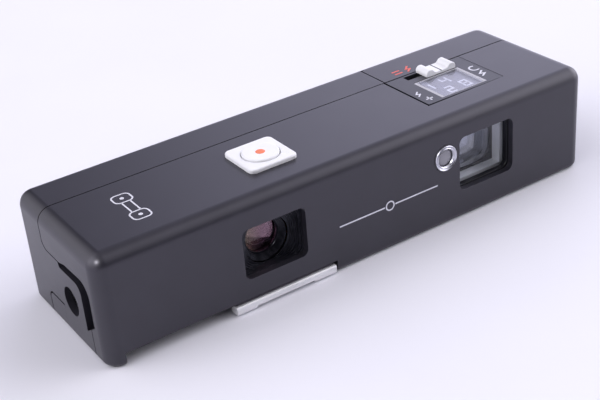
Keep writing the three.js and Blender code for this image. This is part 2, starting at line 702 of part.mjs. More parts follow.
function releaseButton() {
  const profile = [
    [0, 25.7],
    [BUTTON_R, 25.7],
    [BUTTON_R, BUTTON_TOP - 0.35],
    [BUTTON_R - 0.12, BUTTON_TOP - 0.12],
    [BUTTON_R - 0.4, BUTTON_TOP],
    [0, BUTTON_TOP],
  ];
  const leg = prismZ(circle(3.5, 0, 0.6), LEVER_Z + 0.6, 26, FINE);
  const guide = prismZ(circle(0, 0, 1.3), 24.6, 26, FINE);
  return solid(turnedZ(profile)).add(leg).add(guide);
}

const releaseSpring = () => solid(coil(2.1, 0.22, 3.8, 4));

function releaseLever() {
  const [y0, y1] = [RELEASE_Y - 0.4, RELEASE_Y + 1.2];
  return box(RELEASE_X + 2.8, LEVER_X, y0, y1, LEVER_Z - 0.3, LEVER_Z + 0.4)
    .add(prismY(circle(LEVER_X, LEVER_Z, 1.3), y0, y1, FINE))
    .add(box(LEVER_X - 0.7, LEVER_X + 0.7, y0, y1, 15, LEVER_Z))
    .subtract(prismY(circle(LEVER_X, LEVER_Z, 0.6 + FIT), -9, 0, FINE));
}

// ---------------------------------------------------------------- focus slider
function scalePanel() {
  const slope = polygon([
    [PANEL_LEFT, PANEL_BOTTOM],
    [PANEL_RIGHT, PANEL_BOTTOM],
    [PANEL_RIGHT, HEIGHT - 0.15],
    [PANEL_LEFT, HEIGHT - 0.25],
  ]);
  return prismY(slope, PANEL_FRONT, PANEL_BACK)
    .subtract(box(SCALE_LEFT, SCALE_RIGHT, SCALE_FRONT, SCALE_BACK, 20, 30))
    .subtract(box(SLOT_LEFT, SLOT_RIGHT, SLOT_FRONT, SLOT_BACK, 20, 30));
}

function scaleWindow() {
  const slope = polygon([
    [SCALE_LEFT + 0.1, PANE_BOTTOM],
    [SCALE_RIGHT - 0.1, PANE_BOTTOM],
    [SCALE_RIGHT - 0.1, HEIGHT - 0.2],
    [SCALE_LEFT + 0.1, HEIGHT - 0.3],
  ]);
  return prismY(slope, SCALE_FRONT + 0.1, SCALE_BACK - 0.1);
}

function scaleCard() {
  const [x0, x1] = [SCALE_LEFT + 0.15, SCALE_RIGHT - 0.15];
  return box(x0, x1, SCALE_FRONT + 0.15, SCALE_BACK - 0.15, 25.2, PANE_BOTTOM - 0.1);
}

function focusKnob() {
  const [y0, y1] = [2.2, 6.75];
  const foot = HEIGHT - 0.15;
  const saddle = HEIGHT + 0.65;
  const ridge = 2.4;
  const crest = HEIGHT + 1.65 - ridge / 2;
  const profile = new THREE.Shape()
    .moveTo(KNOB_LEFT, foot)
    .lineTo(KNOB_RIGHT, foot)
    .absarc(KNOB_RIGHT - ridge / 2, crest, ridge / 2, 0, 0.7 * Math.PI, false)
    .lineTo(KNOB_RIGHT - ridge - 0.3, saddle)
    .lineTo(KNOB_LEFT + ridge + 0.3, saddle)
    .absarc(KNOB_LEFT + ridge / 2, crest, ridge / 2, 0.3 * Math.PI, Math.PI, false);
  const stem = box(STEM_LEFT, STEM_RIGHT, SLOT_FRONT + RUN, SLOT_BACK - RUN, 24.5, foot + 0.2);
  return prismY(profile, y0, y1, 4).add(stem);
}

function focusLink() {
  const [stripFront, stripBack] = [0.5, 1.1];
  const [plateLeft, plateRight] = [CAM_PIN_X - 2.5, RELEASE_X - 2.75];
  const foot = box(STEM_LEFT, STEM_RIGHT, stripFront + 0.3, SLOT_BACK - RUN, 23.5, 24.2);
  const strip = box(plateLeft - 0.4, STEM_RIGHT + 0.4, stripFront, stripBack, 22, 24.4);
  const camPlate = box(plateLeft, plateRight, CAM_PIN_Y - 2, stripBack - 0.3, 23, 23.6);
  const slotShape = roundedRect(FOCUS_TRAVEL / 2, 0, FOCUS_TRAVEL + 1.7, 1.7, 0.6);
  const slot = new THREE.ExtrudeGeometry(slotShape, { depth: 6, bevelEnabled: false, curveSegments: 3 })
    .rotateZ(Math.atan2(-LENS_TRAVEL, FOCUS_TRAVEL))
    .translate(CAM_PIN_X, CAM_PIN_Y, 20);
  return strip.add(camPlate).add(foot).subtract(solid(slot));
}

// ---------------------------------------------------------------- viewfinder, sensor, electronics
// The finder's funnel between its front window and its eyepiece, grown by grow.
function finderFunnel(grow) {
  const [y0, y1] = [-17.6, 17.2];
  const [frontW, frontH, rearW, rearH] = [16.4, 13.8, 9, 7.4].map((v) => v / 2 + grow);
  const plan = polygon([
    [FINDER_X - frontW, y0],
    [FINDER_X + frontW, y0],
    [FINDER_X + rearW, y1],
    [FINDER_X - rearW, y1],
  ]);
  const side = polygon([
    [y0, FINDER_Z - frontH],
    [y1, FINDER_Z - rearH],
    [y1, FINDER_Z + rearH],
    [y0, FINDER_Z + frontH],
  ]);
  return prismZ(plan, -10, 40).intersect(prismX(side, -10, 80));
}

// The walls round the view, with a seat for the front lens.
function finderTunnel() {
  const walls = finderFunnel(1).intersect(box(0, 80, -15.2, 16.4, 0, 30)).subtract(finderFunnel(0));
  const [w, h] = [OBJECTIVE_W + 0.6, OBJECTIVE_H + 0.6];
  const seat = finderFunnel(0.5)
    .intersect(box(0, 80, OBJECTIVE_FRONT + 0.1, OBJECTIVE_REAR - 0.1, 0, 30))
    .subtract(prismY(roundedRect(FINDER_X, FINDER_Z, w, h, OBJECTIVE_R + 0.3), -20, 0, 4));
  return walls.add(seat);
}

const finderWindow = () => prismY(roundedRect(FINDER_X, FINDER_Z, 17.6, 15, 1), -16.1, -15.5, 2);

function finderBezel() {
  const opening = prismY(roundedRect(FINDER_X, FINDER_Z, 15.6, 13, 1.6), -19, -14, 4);
  return prismY(roundedRect(FINDER_X, FINDER_Z, 18.2, 15.6, 1.6), -17.7, -16.3, 4).subtract(opening);
}

// A deep meniscus: bulging front, hollow rear.
function finderObjective() {
  const shape = roundedRect(FINDER_X, FINDER_Z, OBJECTIVE_W, OBJECTIVE_H, OBJECTIVE_R);
  const block = prismY(shape, OBJECTIVE_FRONT, OBJECTIVE_REAR, 4);
  const [bulge, hollow, hollowDepth] = [18, 9, 1.6];
  const frontY = OBJECTIVE_FRONT + bulge;
  const rearY = OBJECTIVE_REAR - hollowDepth + hollow;
  const front = new THREE.SphereGeometry(bulge, 40, 24).translate(FINDER_X, frontY, FINDER_Z);
  const rear = new THREE.SphereGeometry(hollow, 32, 20).translate(FINDER_X, rearY, FINDER_Z);
  return block.intersect(solid(front)).subtract(solid(rear));
}

const finderEyepiece = () =>
  turnedY(
    [
      [0, 16.2],
      [2, 16.35],
      [3.4, 16.9],
      [3.4, 18.1],
      [2, 18.35],
      [0, 18.5],
    ],
    FINDER_X,
    FINDER_Z,
  );

function eyepieceFrame() {
  const flange = prismY(roundedRect(FINDER_X, FINDER_Z, 13, 11, 2), 17.3, BACK + PROUD, 4);
  return flange
    .subtract(prismY(circle(FINDER_X, FINDER_Z, 3.5), 16, 18.7))
    .subtract(prismY(roundedRect(FINDER_X, FINDER_Z, 8.6, 6.6, 1.4), 18.6, 22, 4));
}

function sensorRing() {
  return turnedY(
    [
      [2.5, -16.6],
      [2.5, -18.9],
      [1.95, -19.1],
      [2.7, FRONT - PROUD],
      [SENSOR_R - 0.1, FRONT - 0.3],
      [SENSOR_R, FRONT - 0.1],
      [SENSOR_R, -16.6],
      [2.5, -16.6],
    ],
    SENSOR_X,
    SENSOR_Z,
  );
}

const sensorLens = () =>
  turnedY(
    [
      [0, -17.8],
      [2.4, -17.8],
      [2.4, -18.7],
      [1.7, -19.1],
      [0, -19.4],
    ],
    SENSOR_X,
    SENSOR_Z,
  );

const circuitBoard = () => box(-8.4, 24.2, -14.2, -13.2, 5.6, 21.6);

// ---------------------------------------------------------------- battery
function batteryCell() {
  const rear = CELL_FRONT + CELL_LENGTH;
  return prismY(circle(CELL_X, CELL_Z, CELL_R), CELL_FRONT, rear - 0.8).add(
    prismY(circle(CELL_X, CELL_Z, 2.4), rear - 0.9, rear, FINE),
  );
}

function batteryHolder() {
  const bore = prismY(circle(CELL_X, CELL_Z, CELL_R + 0.25), -12.2, 20);
  const open = box(CELL_X - 4, CELL_X + 4, -10, 12, CELL_Z, 30);
  return box(CELL_X - 7.7, CELL_X + 7.7, -14.2, 15.6, 5.6, CELL_Z + 7.7).subtract(bore).subtract(open);
}

const batterySpring = () => solid(coil(3, 0.3, 2.4, 3).rotateX(-Math.PI / 2));

function batteryContact() {
  return prismY(circle(CELL_X, CELL_Z, 3.2), CELL_FRONT + CELL_LENGTH + 0.1, 16);
}

function batteryCap() {
  const coinSlot = box(CELL_X - 5, CELL_X + 5, BACK - 0.9, BACK + 1, CELL_Z - 0.7, CELL_Z + 0.7);
  const lugs = box(CELL_X - 8.3, CELL_X + 8.3, 16.4, 17.2, CELL_Z - 1.5, CELL_Z + 1.5);
  return prismY(circle(CELL_X, CELL_Z, CAP_R), 16.2, BACK).add(lugs).subtract(coinSlot);
}

// ---------------------------------------------------------------- door fittings
const hingePin = () => hingeCylinder(HINGE_PIN_R, 2.6, 23);

const filmWindow = () =>
  prismY(roundedRect(LENS_X, LENS_Z, 21.8, 7.8, 1.4), BACK_IN + 0.1, BACK - 0.3, 3);

// Bowed leaf spring on the door, centred on x.
function leafSpring(x) {
  const rise = 0.5;
  const half = 6;
  const thick = 0.3;
  const foot = BACK_IN - 0.05;
  const outer = [];
  const inner = [];
  for (let i = -4; i <= 4; i++) {
    const y = foot - rise * (1 - (i / 4) ** 2);
    outer.push([x + (half * i) / 4, y]);
    inner.unshift([x + (half * i) / 4, y - thick]);
  }
  return prismZ(polygon(outer.concat(inner)), 11, 17);
}

function strapSocket() {
  const body = prismX(circle(SOCKET_Y, SOCKET_Z, SOCKET_OUT_R), LEFT_IN + 0.3, -60.6);
  return body.subtract(prismX(circle(SOCKET_Y, SOCKET_Z, 3.18), -70, -60));
}

function doorLatch() {
  const tab = new THREE.Shape()
    .moveTo(LATCH_FRONT, 0.2)
    .lineTo(LATCH_BACK, 0.2)
    .absarc(LATCH_BACK - 1.7, LATCH_TOP - 1.7, 1.7, 0, Math.PI / 2, false)
    .lineTo(LATCH_FRONT, LATCH_TOP);
  const stem = box(LEFT + 1.2, -61.4, 2.9, 5.9, 1.95, 3.25);
  return prismX(tab, LEFT, LEFT + 1.4, 5).intersect(bodyForm(0)).add(stem);
}

const latchSpring = () => solid(coil(0.62, 0.13, 2.8, 4).rotateY(Math.PI / 2));

// ---------------------------------------------------------------- materials and assembly
// Looks as colour, roughness and metalness; every mesh gets a material of its own.
const blackCase = [0x26262b, 0.5, 0];
const blackInner = [0x17171a, 0.7, 0];
const whiteKey = [0xf1f1f2, 0.4, 0];
const silver = [0xd9d9dc, 0.35, 0.4];
const steel = [0xb4b6ba, 0.3, 0.9];
const blackSteel = [0x1f1f21, 0.35, 0.5];
const brass = [0xb58f4c, 0.35, 0.9];
const glass = [0xdfe8ee, 0.05, 0];
const coated = [0x6b4660, 0.05, 0];
const acetal = [0xe6e2d6, 0.5, 0];
const board = [0x2c5a3a, 0.6, 0];
const copper = [0x9c5a34, 0.4, 0.8];
const card = [0xc9cbd4, 0.6, 0];

const camera = new THREE.Group();

function geometryOf(body) {
  const mesh = body.getMesh();
  const count = mesh.numProp;
  const positions = new Float32Array(mesh.numVert * 3);
  for (let i = 0; i < mesh.numVert; i++) {
    positions.set(mesh.vertProperties.subarray(i * count, i * count + 3), i * 3);
  }
  const geometry = new THREE.BufferGeometry();
  geometry.setAttribute("position", new THREE.BufferAttribute(positions, 3));
  geometry.setIndex(new THREE.BufferAttribute(new Uint32Array(mesh.triVerts), 1));
  geometry.computeVertexNormals();
  return geometry;
}

function add(name, body, [color, roughness, metalness], place = [0, 0, 0]) {
  const material = new THREE.MeshStandardMaterial({ color, roughness, metalness });
  const mesh = new THREE.Mesh(geometryOf(body), material);
  mesh.name = name;
  mesh.position.set(...place);
  camera.add(mesh);
}

add("front_housing", frontHousing(), blackCase);
add("rear_housing", rearHousing(), blackCase);
add("base_plate", basePlate(), blackCase);
add("chassis", chassis(), blackInner);
SCREWS.forEach(([x, y], i) => add("base_screw_" + (i + 1), baseScrew(), steel, [x, y, 0]));

add("film_door", filmDoor(), blackCase);
add("door_hinge_pin", hingePin(), steel);
add("film_window", filmWindow(), glass);
add("cartridge_spring_left", leafSpring(TAKEUP_X), steel);
add("cartridge_spring_right", leafSpring(0.7), steel);
add("strap_socket", strapSocket(), blackSteel);
add("door_latch", doorLatch(), blackCase);
add("latch_spring", latchSpring(), steel, [-65.5, 4.6, 5.5]);

add("advance_slide", advanceSlide(), blackCase);
add("advance_grip", advanceGrip(), silver);
add("advance_pinion", spurGear(PINION_TEETH, pinionPhase), acetal, [PINION_X, PINION_Y, 0]);
add("advance_idler", spurGear(IDLER_TEETH, idlerPhase), acetal, [IDLER_X, IDLER_Y, 0]);
add("takeup_driver", takeupDriver(), acetal, [TAKEUP_X, TAKEUP_Y, 0]);
add("pinion_axle", axle(), steel, [PINION_X, PINION_Y, 0]);
add("idler_axle", axle(), steel, [IDLER_X, IDLER_Y, 0]);

add("lens_bezel", lensBezel(), blackInner);
add("lens_barrel", lensBarrel(), blackInner);
add("lens_front_element", element(ELEMENT_R - 0.05, -12.9, -12.4, 0.4, 0.3), coated);
add("lens_middle_element", element(2.8, -11.85, -11.3, -0.15, -0.15), glass);
add("lens_rear_element", element(2.9, -10.9, -10.1, 0.05, 0.3), glass);
add("lens_retainer", ringY(ELEMENT_R - 0.05, ELEMENT_R - 0.4, -13.7, -13.1, LENS_X, LENS_Z), blackInner);
add("shutter_base", shutterBase(), steel);
add("shutter_blade", shutterBlade(), blackInner);
add("shutter_pivot", prismY(circle(BLADE_X, BLADE_Z, 0.6), -9.4, -6.9, FINE), steel);
add("shutter_magnet", shutterMagnet(), copper);

add("release_bezel", releaseBezel(), whiteKey);
add("release_button", releaseButton(), whiteKey, [RELEASE_X, RELEASE_Y, 0]);
add("release_spring", releaseSpring(), steel, [RELEASE_X, RELEASE_Y, SPRING_SEAT_Z + 0.15]);
add("release_lever", releaseLever(), steel);
add("release_lever_pin", prismY(circle(LEVER_X, LEVER_Z, 0.6), -6.6, -3.2, FINE), steel);

add("scale_panel", scalePanel(), blackInner);
add("scale_window", scaleWindow(), glass);
add("scale_card", scaleCard(), card);
add("focus_knob", focusKnob(), whiteKey);
add("focus_link", focusLink(), steel);

add("finder_tunnel", finderTunnel(), card);
add("finder_bezel", finderBezel(), blackInner);
add("finder_window", finderWindow(), glass);
add("finder_objective", finderObjective(), glass);
add("finder_eyepiece", finderEyepiece(), glass);
add("eyepiece_frame", eyepieceFrame(), blackInner);

add("sensor_ring", sensorRing(), steel);
add("sensor_lens", sensorLens(), glass);
add("light_cell", prismY(circle(SENSOR_X, SENSOR_Z, 2.1), -17.4, -14.3), blackInner);
add("circuit_board", circuitBoard(), board);
add("control_chip", box(2, 12, -13.1, -11.3, 9, 16), blackInner);
add("timing_capacitor", prismZ(circle(18.4, -10.4, 2.6), 6.6, 16.4), copper);

add("battery", batteryCell(), steel);
add("battery_holder", batteryHolder(), blackInner);
add("battery_spring", batterySpring(), brass, [CELL_X, CELL_FRONT - 2.5, CELL_Z]);
add("battery_contact", batteryContact(), brass);
add("battery_cap", batteryCap(), blackCase);

export default camera;
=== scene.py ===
"""The finished look of a 110-cartridge pocket camera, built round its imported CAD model.

Shapes are worked out in millimetres and published in metres, in the CAD model's own frame:
+X to the right seen from the front, +Y to the rear, +Z up.
"""

import json
import math

import bmesh
import bpy
from mathutils import Matrix, Vector


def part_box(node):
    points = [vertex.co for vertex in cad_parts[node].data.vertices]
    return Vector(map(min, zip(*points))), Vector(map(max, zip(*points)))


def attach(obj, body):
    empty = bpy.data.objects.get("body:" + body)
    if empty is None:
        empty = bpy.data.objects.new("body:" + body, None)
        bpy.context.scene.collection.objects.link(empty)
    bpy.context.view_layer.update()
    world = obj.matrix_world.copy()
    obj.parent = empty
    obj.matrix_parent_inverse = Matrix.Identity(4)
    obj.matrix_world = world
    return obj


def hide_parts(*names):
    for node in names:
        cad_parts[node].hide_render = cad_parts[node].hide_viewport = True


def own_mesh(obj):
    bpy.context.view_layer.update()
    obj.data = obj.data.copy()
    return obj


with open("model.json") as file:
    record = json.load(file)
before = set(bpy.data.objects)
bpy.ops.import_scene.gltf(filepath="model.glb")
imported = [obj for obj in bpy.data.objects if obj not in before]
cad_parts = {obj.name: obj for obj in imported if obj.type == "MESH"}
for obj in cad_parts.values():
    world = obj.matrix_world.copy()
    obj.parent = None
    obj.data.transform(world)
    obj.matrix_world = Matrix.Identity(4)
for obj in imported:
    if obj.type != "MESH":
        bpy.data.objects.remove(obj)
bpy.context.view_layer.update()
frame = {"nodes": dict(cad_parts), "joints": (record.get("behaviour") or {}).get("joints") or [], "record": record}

MM = 0.001


def span(node):
    """A CAD node's lowest and highest corners, in millimetres."""
    low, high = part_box(node)
    return low / MM, high / MM


def centre(node):
    low, high = span(node)
    return (low + high) / 2


# ---- driving dimensions
(LEFT, FRONT, _), (RIGHT, _, TOP) = span("front_housing")
BACK = span("rear_housing")[1].y
WALL = 1.6
CORNER_R = 3.5  # vertical corners, seen from above
TOP_R = 3.3  # rounding round the top
FOOT_R = 1.4  # rounding round the bottom
SEAM = 0.35  # gap between two fixed mouldings
DOOR_GAP = 0.3  # gap round the film door
RUN = 0.4  # clearance beside a sliding piece
FIT = 0.06  # radial clearance of a pin in its hole
FAR = 300.0  # past the object, for cutting tools

LEFT_IN, RIGHT_IN = LEFT + WALL, RIGHT - WALL
FRONT_IN, BACK_IN = FRONT + WALL, BACK - WALL
TOP_IN = TOP - WALL

SEAM_Y = 7.2  # front edge of the door and of the rear housing
PLATE_TOP = TOP - 0.06  # face of the slider's panel
SLOT_FRONT, SLOT_BACK = 4.25, 6.35  # the slider's slot, in Y
HINGE = Vector(frame["joints"][0]["pos_m"]) / MM
BARREL_R = 1.3  # the hinge's knuckles
HINGE_PIN_R = 0.6
KNUCKLE_LOW_Z, KNUCKLE_HIGH_Z = 7.6, 18.4  # ends of the middle knuckle

BASE_TOP = 1.6
# the cut-out that the film advance's grip runs in
CUT_LEFT, CUT_RIGHT, CUT_TOP, CUT_BACK = -63.1, -9.4, 3.15, -9.0

LENS = centre("lens_front_element")
LENS_FRAME = centre("lens_bezel")
FINDER = centre("finder_window")
SENSOR = centre("sensor_ring")
RELEASE = centre("release_button")
CELL = centre("battery_cap")
SOCKET = centre("strap_socket")

# ---- outlines and solids


def arc(cx, cy, r, start, end, steps=12):
    """Points of an arc between two angles in degrees."""
    angles = [math.radians(start + (end - start) * i / steps) for i in range(steps + 1)]
    return [(cx + r * math.cos(a), cy + r * math.sin(a)) for a in angles]


def circle(cx, cy, r, steps=64):
    return arc(cx, cy, r, 0, 360, steps)[:-1]


def rounded(cx, cy, w, h, r, steps=8):
    """A rectangle with round corners, counter-clockwise; a square of width 2 r is a circle."""
    dx, dy = w / 2 - r, h / 2 - r
    return (
        arc(cx + dx, cy - dy, r, -90, 0, steps)
        + arc(cx + dx, cy + dy, r, 0, 90, steps)
        + arc(cx - dx, cy + dy, r, 90, 180, steps)
        + arc(cx - dx, cy - dy, r, 180, 270, steps)
    )


def flattened(axis, place):
    """A place's two coordinates across an axis."""
    return tuple(value for value, name in zip(place, "XYZ") if name != axis)


PLACES = {
    "X": lambda a, b, h: (h, a, b),
    "Y": lambda a, b, h: (a, h, b),
    "Z": lambda a, b, h: (a, b, h),
}


def placed(axis, outline, height):
    """An outline at a height along an axis; its own two axes are the other two in order."""
    return [PLACES[axis](a, b, height) for a, b in outline]


def loft(rings, closed=False):
    """A closed mesh through rings of equally many points; closed joins the last to the first."""
    count = len(rings[0])
    faces = []
    for i in range(len(rings) - (0 if closed else 1)):
        a, b = i * count, ((i + 1) % len(rings)) * count
        for j in range(count):
            k = (j + 1) % count
            faces.append((a + j, a + k, b + k, b + j))
    if not closed:
        last = (len(rings) - 1) * count
        faces += [tuple(reversed(range(count))), tuple(range(last, last + count))]
    mesh = bpy.data.meshes.new("shape")
    mesh.from_pydata([p for ring in rings for p in ring], [], faces)
    bm = bmesh.new()
    bm.from_mesh(mesh)
    bmesh.ops.remove_doubles(bm, verts=bm.verts, dist=1e-5)
    bmesh.ops.dissolve_degenerate(bm, edges=bm.edges, dist=1e-6)
    bmesh.ops.recalc_face_normals(bm, faces=bm.faces)
    bm.to_mesh(mesh)
    bm.free()
    return mesh


def prism(axis, outline, low, high):
    return loft([placed(axis, outline, low), placed(axis, outline, high)])


def block(x0, x1, y0, y1, z0, z1):
    return prism("Z", [(x0, y0), (x1, y0), (x1, y1), (x0, y1)], z0, z1)


def rod(axis, cx, cy, r, low, high, steps=64):
    return prism(axis, circle(cx, cy, r, steps), low, high)


def turned(axis, place, profile, steps=64):
    """Turns [radius, height] pairs round an axis; a profile off the axis closes on itself."""
    solid = profile[0][0] == 0 and profile[-1][0] == 0
    rings = [placed(axis, circle(*flattened(axis, place), max(r, 1e-7), steps), h) for r, h in profile]
    return loft(rings, closed=not solid)


def pin_profile(r, low, high, side, end=None):
    """The profile of a rod whose ends are chamfered by side in radius and by end in length."""
    end = end or side
    return [(0, low), (r - side, low), (r, low + end), (r, high - end), (r - side, high), (0, high)]


def tube(points, radius, steps=10):
    """A round wire along points."""
    points = [Vector(p) for p in points]
    rings = []
    for i, point in enumerate(points):
        ahead = points[min(i + 1, len(points) - 1)] - points[max(i - 1, 0)]
        side = ahead.cross(Vector((0.31, 0.17, 0.93))).normalized()
        up = side.cross(ahead).normalized()
        rings.append([tuple(point + (side * a + up * b) * radius) for a, b in circle(0, 0, 1, steps)])
    return loft(rings)


def helix(axis, place, radius, low, high, turns, steps=28):
    """Points of a coil with a closed turn at each end."""
    cx, cy = flattened(axis, place)
    points = []
    for i in range(turns * steps + 1):
        t = i / (turns * steps)
        a = 2 * math.pi * turns * t
        rise = min(max((t * turns - 0.8) / (turns - 1.6), 0), 1) * 0.94 + 0.06 * t
        flat = (cx + radius * math.cos(a), cy + radius * math.sin(a))
        points.append(PLACES[axis](*flat, low + (high - low) * rise))
    return points


def as_object(mesh):
    obj = bpy.data.objects.new("work", mesh)
    bpy.context.scene.collection.objects.link(obj)
    return obj


def applied(obj):
    """The mesh that an object's modifiers make. The object goes."""
    graph = bpy.context.evaluated_depsgraph_get()
    mesh = bpy.data.meshes.new_from_object(obj.evaluated_get(graph))
    bpy.data.objects.remove(obj)
    return mesh


def combined(mesh, tools, operation):
    obj = as_object(mesh)
    helpers = [as_object(tool) for tool in tools]
    for helper in helpers:
        modifier = obj.modifiers.new("combine", "BOOLEAN")
        modifier.operation = operation
        modifier.solver = "MANIFOLD"
        modifier.object = helper
    made = applied(obj)
    for helper in helpers:
        bpy.data.objects.remove(helper)
    return made


def cut(mesh, *tools):
    return combined(mesh, tools, "DIFFERENCE")


def joined(mesh, *tools):
    return combined(mesh, tools, "UNION")


def common(mesh, *tools):
    return combined(mesh, tools, "INTERSECT")


# ---- materials


def new_material(name):
    """A new material, its shader node and the piece's own coordinates."""
    material = bpy.data.materials.new(name)
    material.use_nodes = True
    nodes = material.node_tree.nodes
    return material, nodes["Principled BSDF"], nodes.new("ShaderNodeTexCoord").outputs["Object"]


def fed(node, inputs):
    """A node with its inputs, by name or number, fed from a socket or set to a value or colour."""
    for name, source in inputs.items():
        socket = node.inputs[name]
        if isinstance(source, bpy.types.NodeSocket):
            node.id_data.links.new(source, socket)
        else:
            socket.default_value = (*source, 1) if isinstance(source, tuple) else source
    return node


def new_node(source, kind, inputs):
    """A new node in the tree that a socket belongs to."""
    return fed(source.id_data.nodes.new("ShaderNode" + kind), inputs)


def computed(kind, operation, a, b):
    """A node that works out an operation on a socket and another socket or value."""
    node = new_node(a, kind, {0: a, 1: b})
    node.operation = operation
    return node


def noise(coords, size_mm, detail=2.0):
    """Noise whose features are about size_mm across."""
    scale = 1 / (size_mm * MM)
    return new_node(coords, "TexNoise", {"Vector": coords, "Scale": scale, "Detail": detail}).outputs["Fac"]


def mapped(source, low, high, to_low, to_high, kind="LINEAR"):
    """A socket's range from low to high, moved to another range and held at its ends."""
    inputs = {"Value": source, "From Min": low, "From Max": high, "To Min": to_low, "To Max": to_high}
    node = new_node(source, "MapRange", inputs)
    node.interpolation_type = kind
    return node.outputs["Result"]


def blended(factor, a, b):
    """A colour between a and b; each is a colour or a socket."""
    node = new_node(factor, "Mix", {})
    node.data_type = "RGBA"
    return fed(node, {0: factor, 6: a, 7: b}).outputs[2]


def edge_mask(coords, radius_mm):
    """1 along edges and corners, 0 on open faces."""
    bevel = new_node(coords, "Bevel", {"Radius": radius_mm * MM})
    bevel.samples = 4
    normal = new_node(coords, "NewGeometry", {}).outputs["Normal"]
    dot = computed("VectorMath", "DOT_PRODUCT", bevel.outputs["Normal"], normal)
    return mapped(dot.outputs["Value"], 1.0, 0.9, 0.0, 1.0)


def surface(name, colour, roughness, metallic=0.0, grain=0.25, bump=0.3, depth=0.01, fleck=0.12,
            edge_wear_and_highlight=0.0, edge_wear_and_highlight_colour=None, edge=0.35, coat=0.0, specular=0.5, tint=(1, 1, 1), blotch=6.0,
            drift=0.12):
    """A procedural finish: fine grain in the relief, slow drift in colour and gloss, and edges in a colour of
    their own: wear, and on black finishes a painted highlight.

    grain and blotch are feature sizes in mm, depth is the relief in mm, fleck is the share by
    which the colour drifts, drift the same for the roughness, and wear is how far the edges, in
    a strip edge wide, turn to the edge colour: real wear on the white key and the silver grip, a
    painted highlight on the edges of the black finishes, mixed with a little wear on the case.
    """
    material, shader, coords = new_material(name)
    fine, slow = noise(coords, grain), noise(coords, blotch, 4.0)
    dark = tuple(c * (1 - fleck) for c in colour)
    light = tuple(min(1.0, c * (1 + fleck)) for c in colour)
    paint = blended(mapped(slow, 0.3, 0.7, 0.0, 1.0), dark, light)
    speck = mapped(fine, 0.35, 0.75, 0.0, fleck)
    paint = blended(speck, paint, tuple(min(1.0, c * 1.6 + 0.01) for c in colour))
    # edges turn to their own colour: wear where it darkens them, a painted highlight where black edges turn
    # lighter
    if edge_wear_and_highlight:
        patchy = mapped(noise(coords, 1.3, 3.0), 0.42, 0.62, 0.0, edge_wear_and_highlight)
        both = computed("Math", "MULTIPLY", edge_mask(coords, edge), patchy)
        paint = blended(both.outputs[0], paint, edge_wear_and_highlight_colour or light)
    spread = drift * (roughness + 0.15)
    rough = mapped(slow, 0.3, 0.7, max(roughness - spread, 0.02), min(roughness + spread, 1.0))
    relief = new_node(coords, "Bump", {"Strength": bump, "Distance": depth * MM, "Height": fine})
    fed(shader, {
        "Base Color": paint, "Roughness": rough, "Metallic": metallic, "Coat Weight": coat,
        "Coat Roughness": 0.12, "Specular IOR Level": specular, "Specular Tint": tint,
        "Normal": relief.outputs["Normal"],
    })
    return material


def clear_glass(name, tint, mirror, index, dust=0.02, inner=0.0, across=None):
    """Thin or coated glass: see-through, with a mirror share that rises towards grazing.

    mirror is a pair of colours. They mix in smears, or from left to right between the two places
    in X that across gives, in mm, which is a painted reflection fixed on the glass. inner is the
    mirror share of faces seen from inside the glass.
    """
    material, gloss, coords = new_material(name)
    smear = noise(coords, 2.5, 4.0)
    share = mapped(smear, 0.35, 0.65, 0.0, 1.0)
    # a painted reflection: the mirror colour runs from the first colour to the second, left to right over the
    # glass
    if across:
        apart = new_node(coords, "SeparateXYZ", {0: coords})
        share = mapped(apart.outputs[0], across[0] * MM, across[1] * MM, 0.0, 1.0)
    rough = mapped(smear, 0.3, 0.7, dust, dust + 0.05)
    fed(gloss, {"Base Color": blended(share, *mirror), "Metallic": 1.0, "Roughness": rough})
    through = new_node(coords, "BsdfTransparent", {"Color": tint})
    fresnel = new_node(coords, "Fresnel", {"IOR": index}).outputs[0]
    inside = new_node(coords, "NewGeometry", {}).outputs["Backfacing"]
    sides = new_node(coords, "Mix", {0: inside, 2: fresnel, 3: inner}).outputs[0]
    mix = new_node(coords, "MixShader", {0: sides, 1: through.outputs[0], 2: gloss.outputs[0]})
    fed(material.node_tree.nodes["Material Output"], {"Surface": mix.outputs[0]})
    return material


def solid_glass(name, tint, roughness, index=1.5):
    """Glass that bends light, with a faint haze of dust."""
    material, shader, coords = new_material(name)
    haze = noise(coords, 1.8, 4.0)
    hazy = blended(haze, tint, tuple(min(1.0, c * 1.06) for c in tint))
    rough = mapped(haze, 0.3, 0.7, roughness, roughness + 0.04)
    fed(shader, {"Base Color": hazy, "Roughness": rough, "Transmission Weight": 1.0, "IOR": index})
    return material


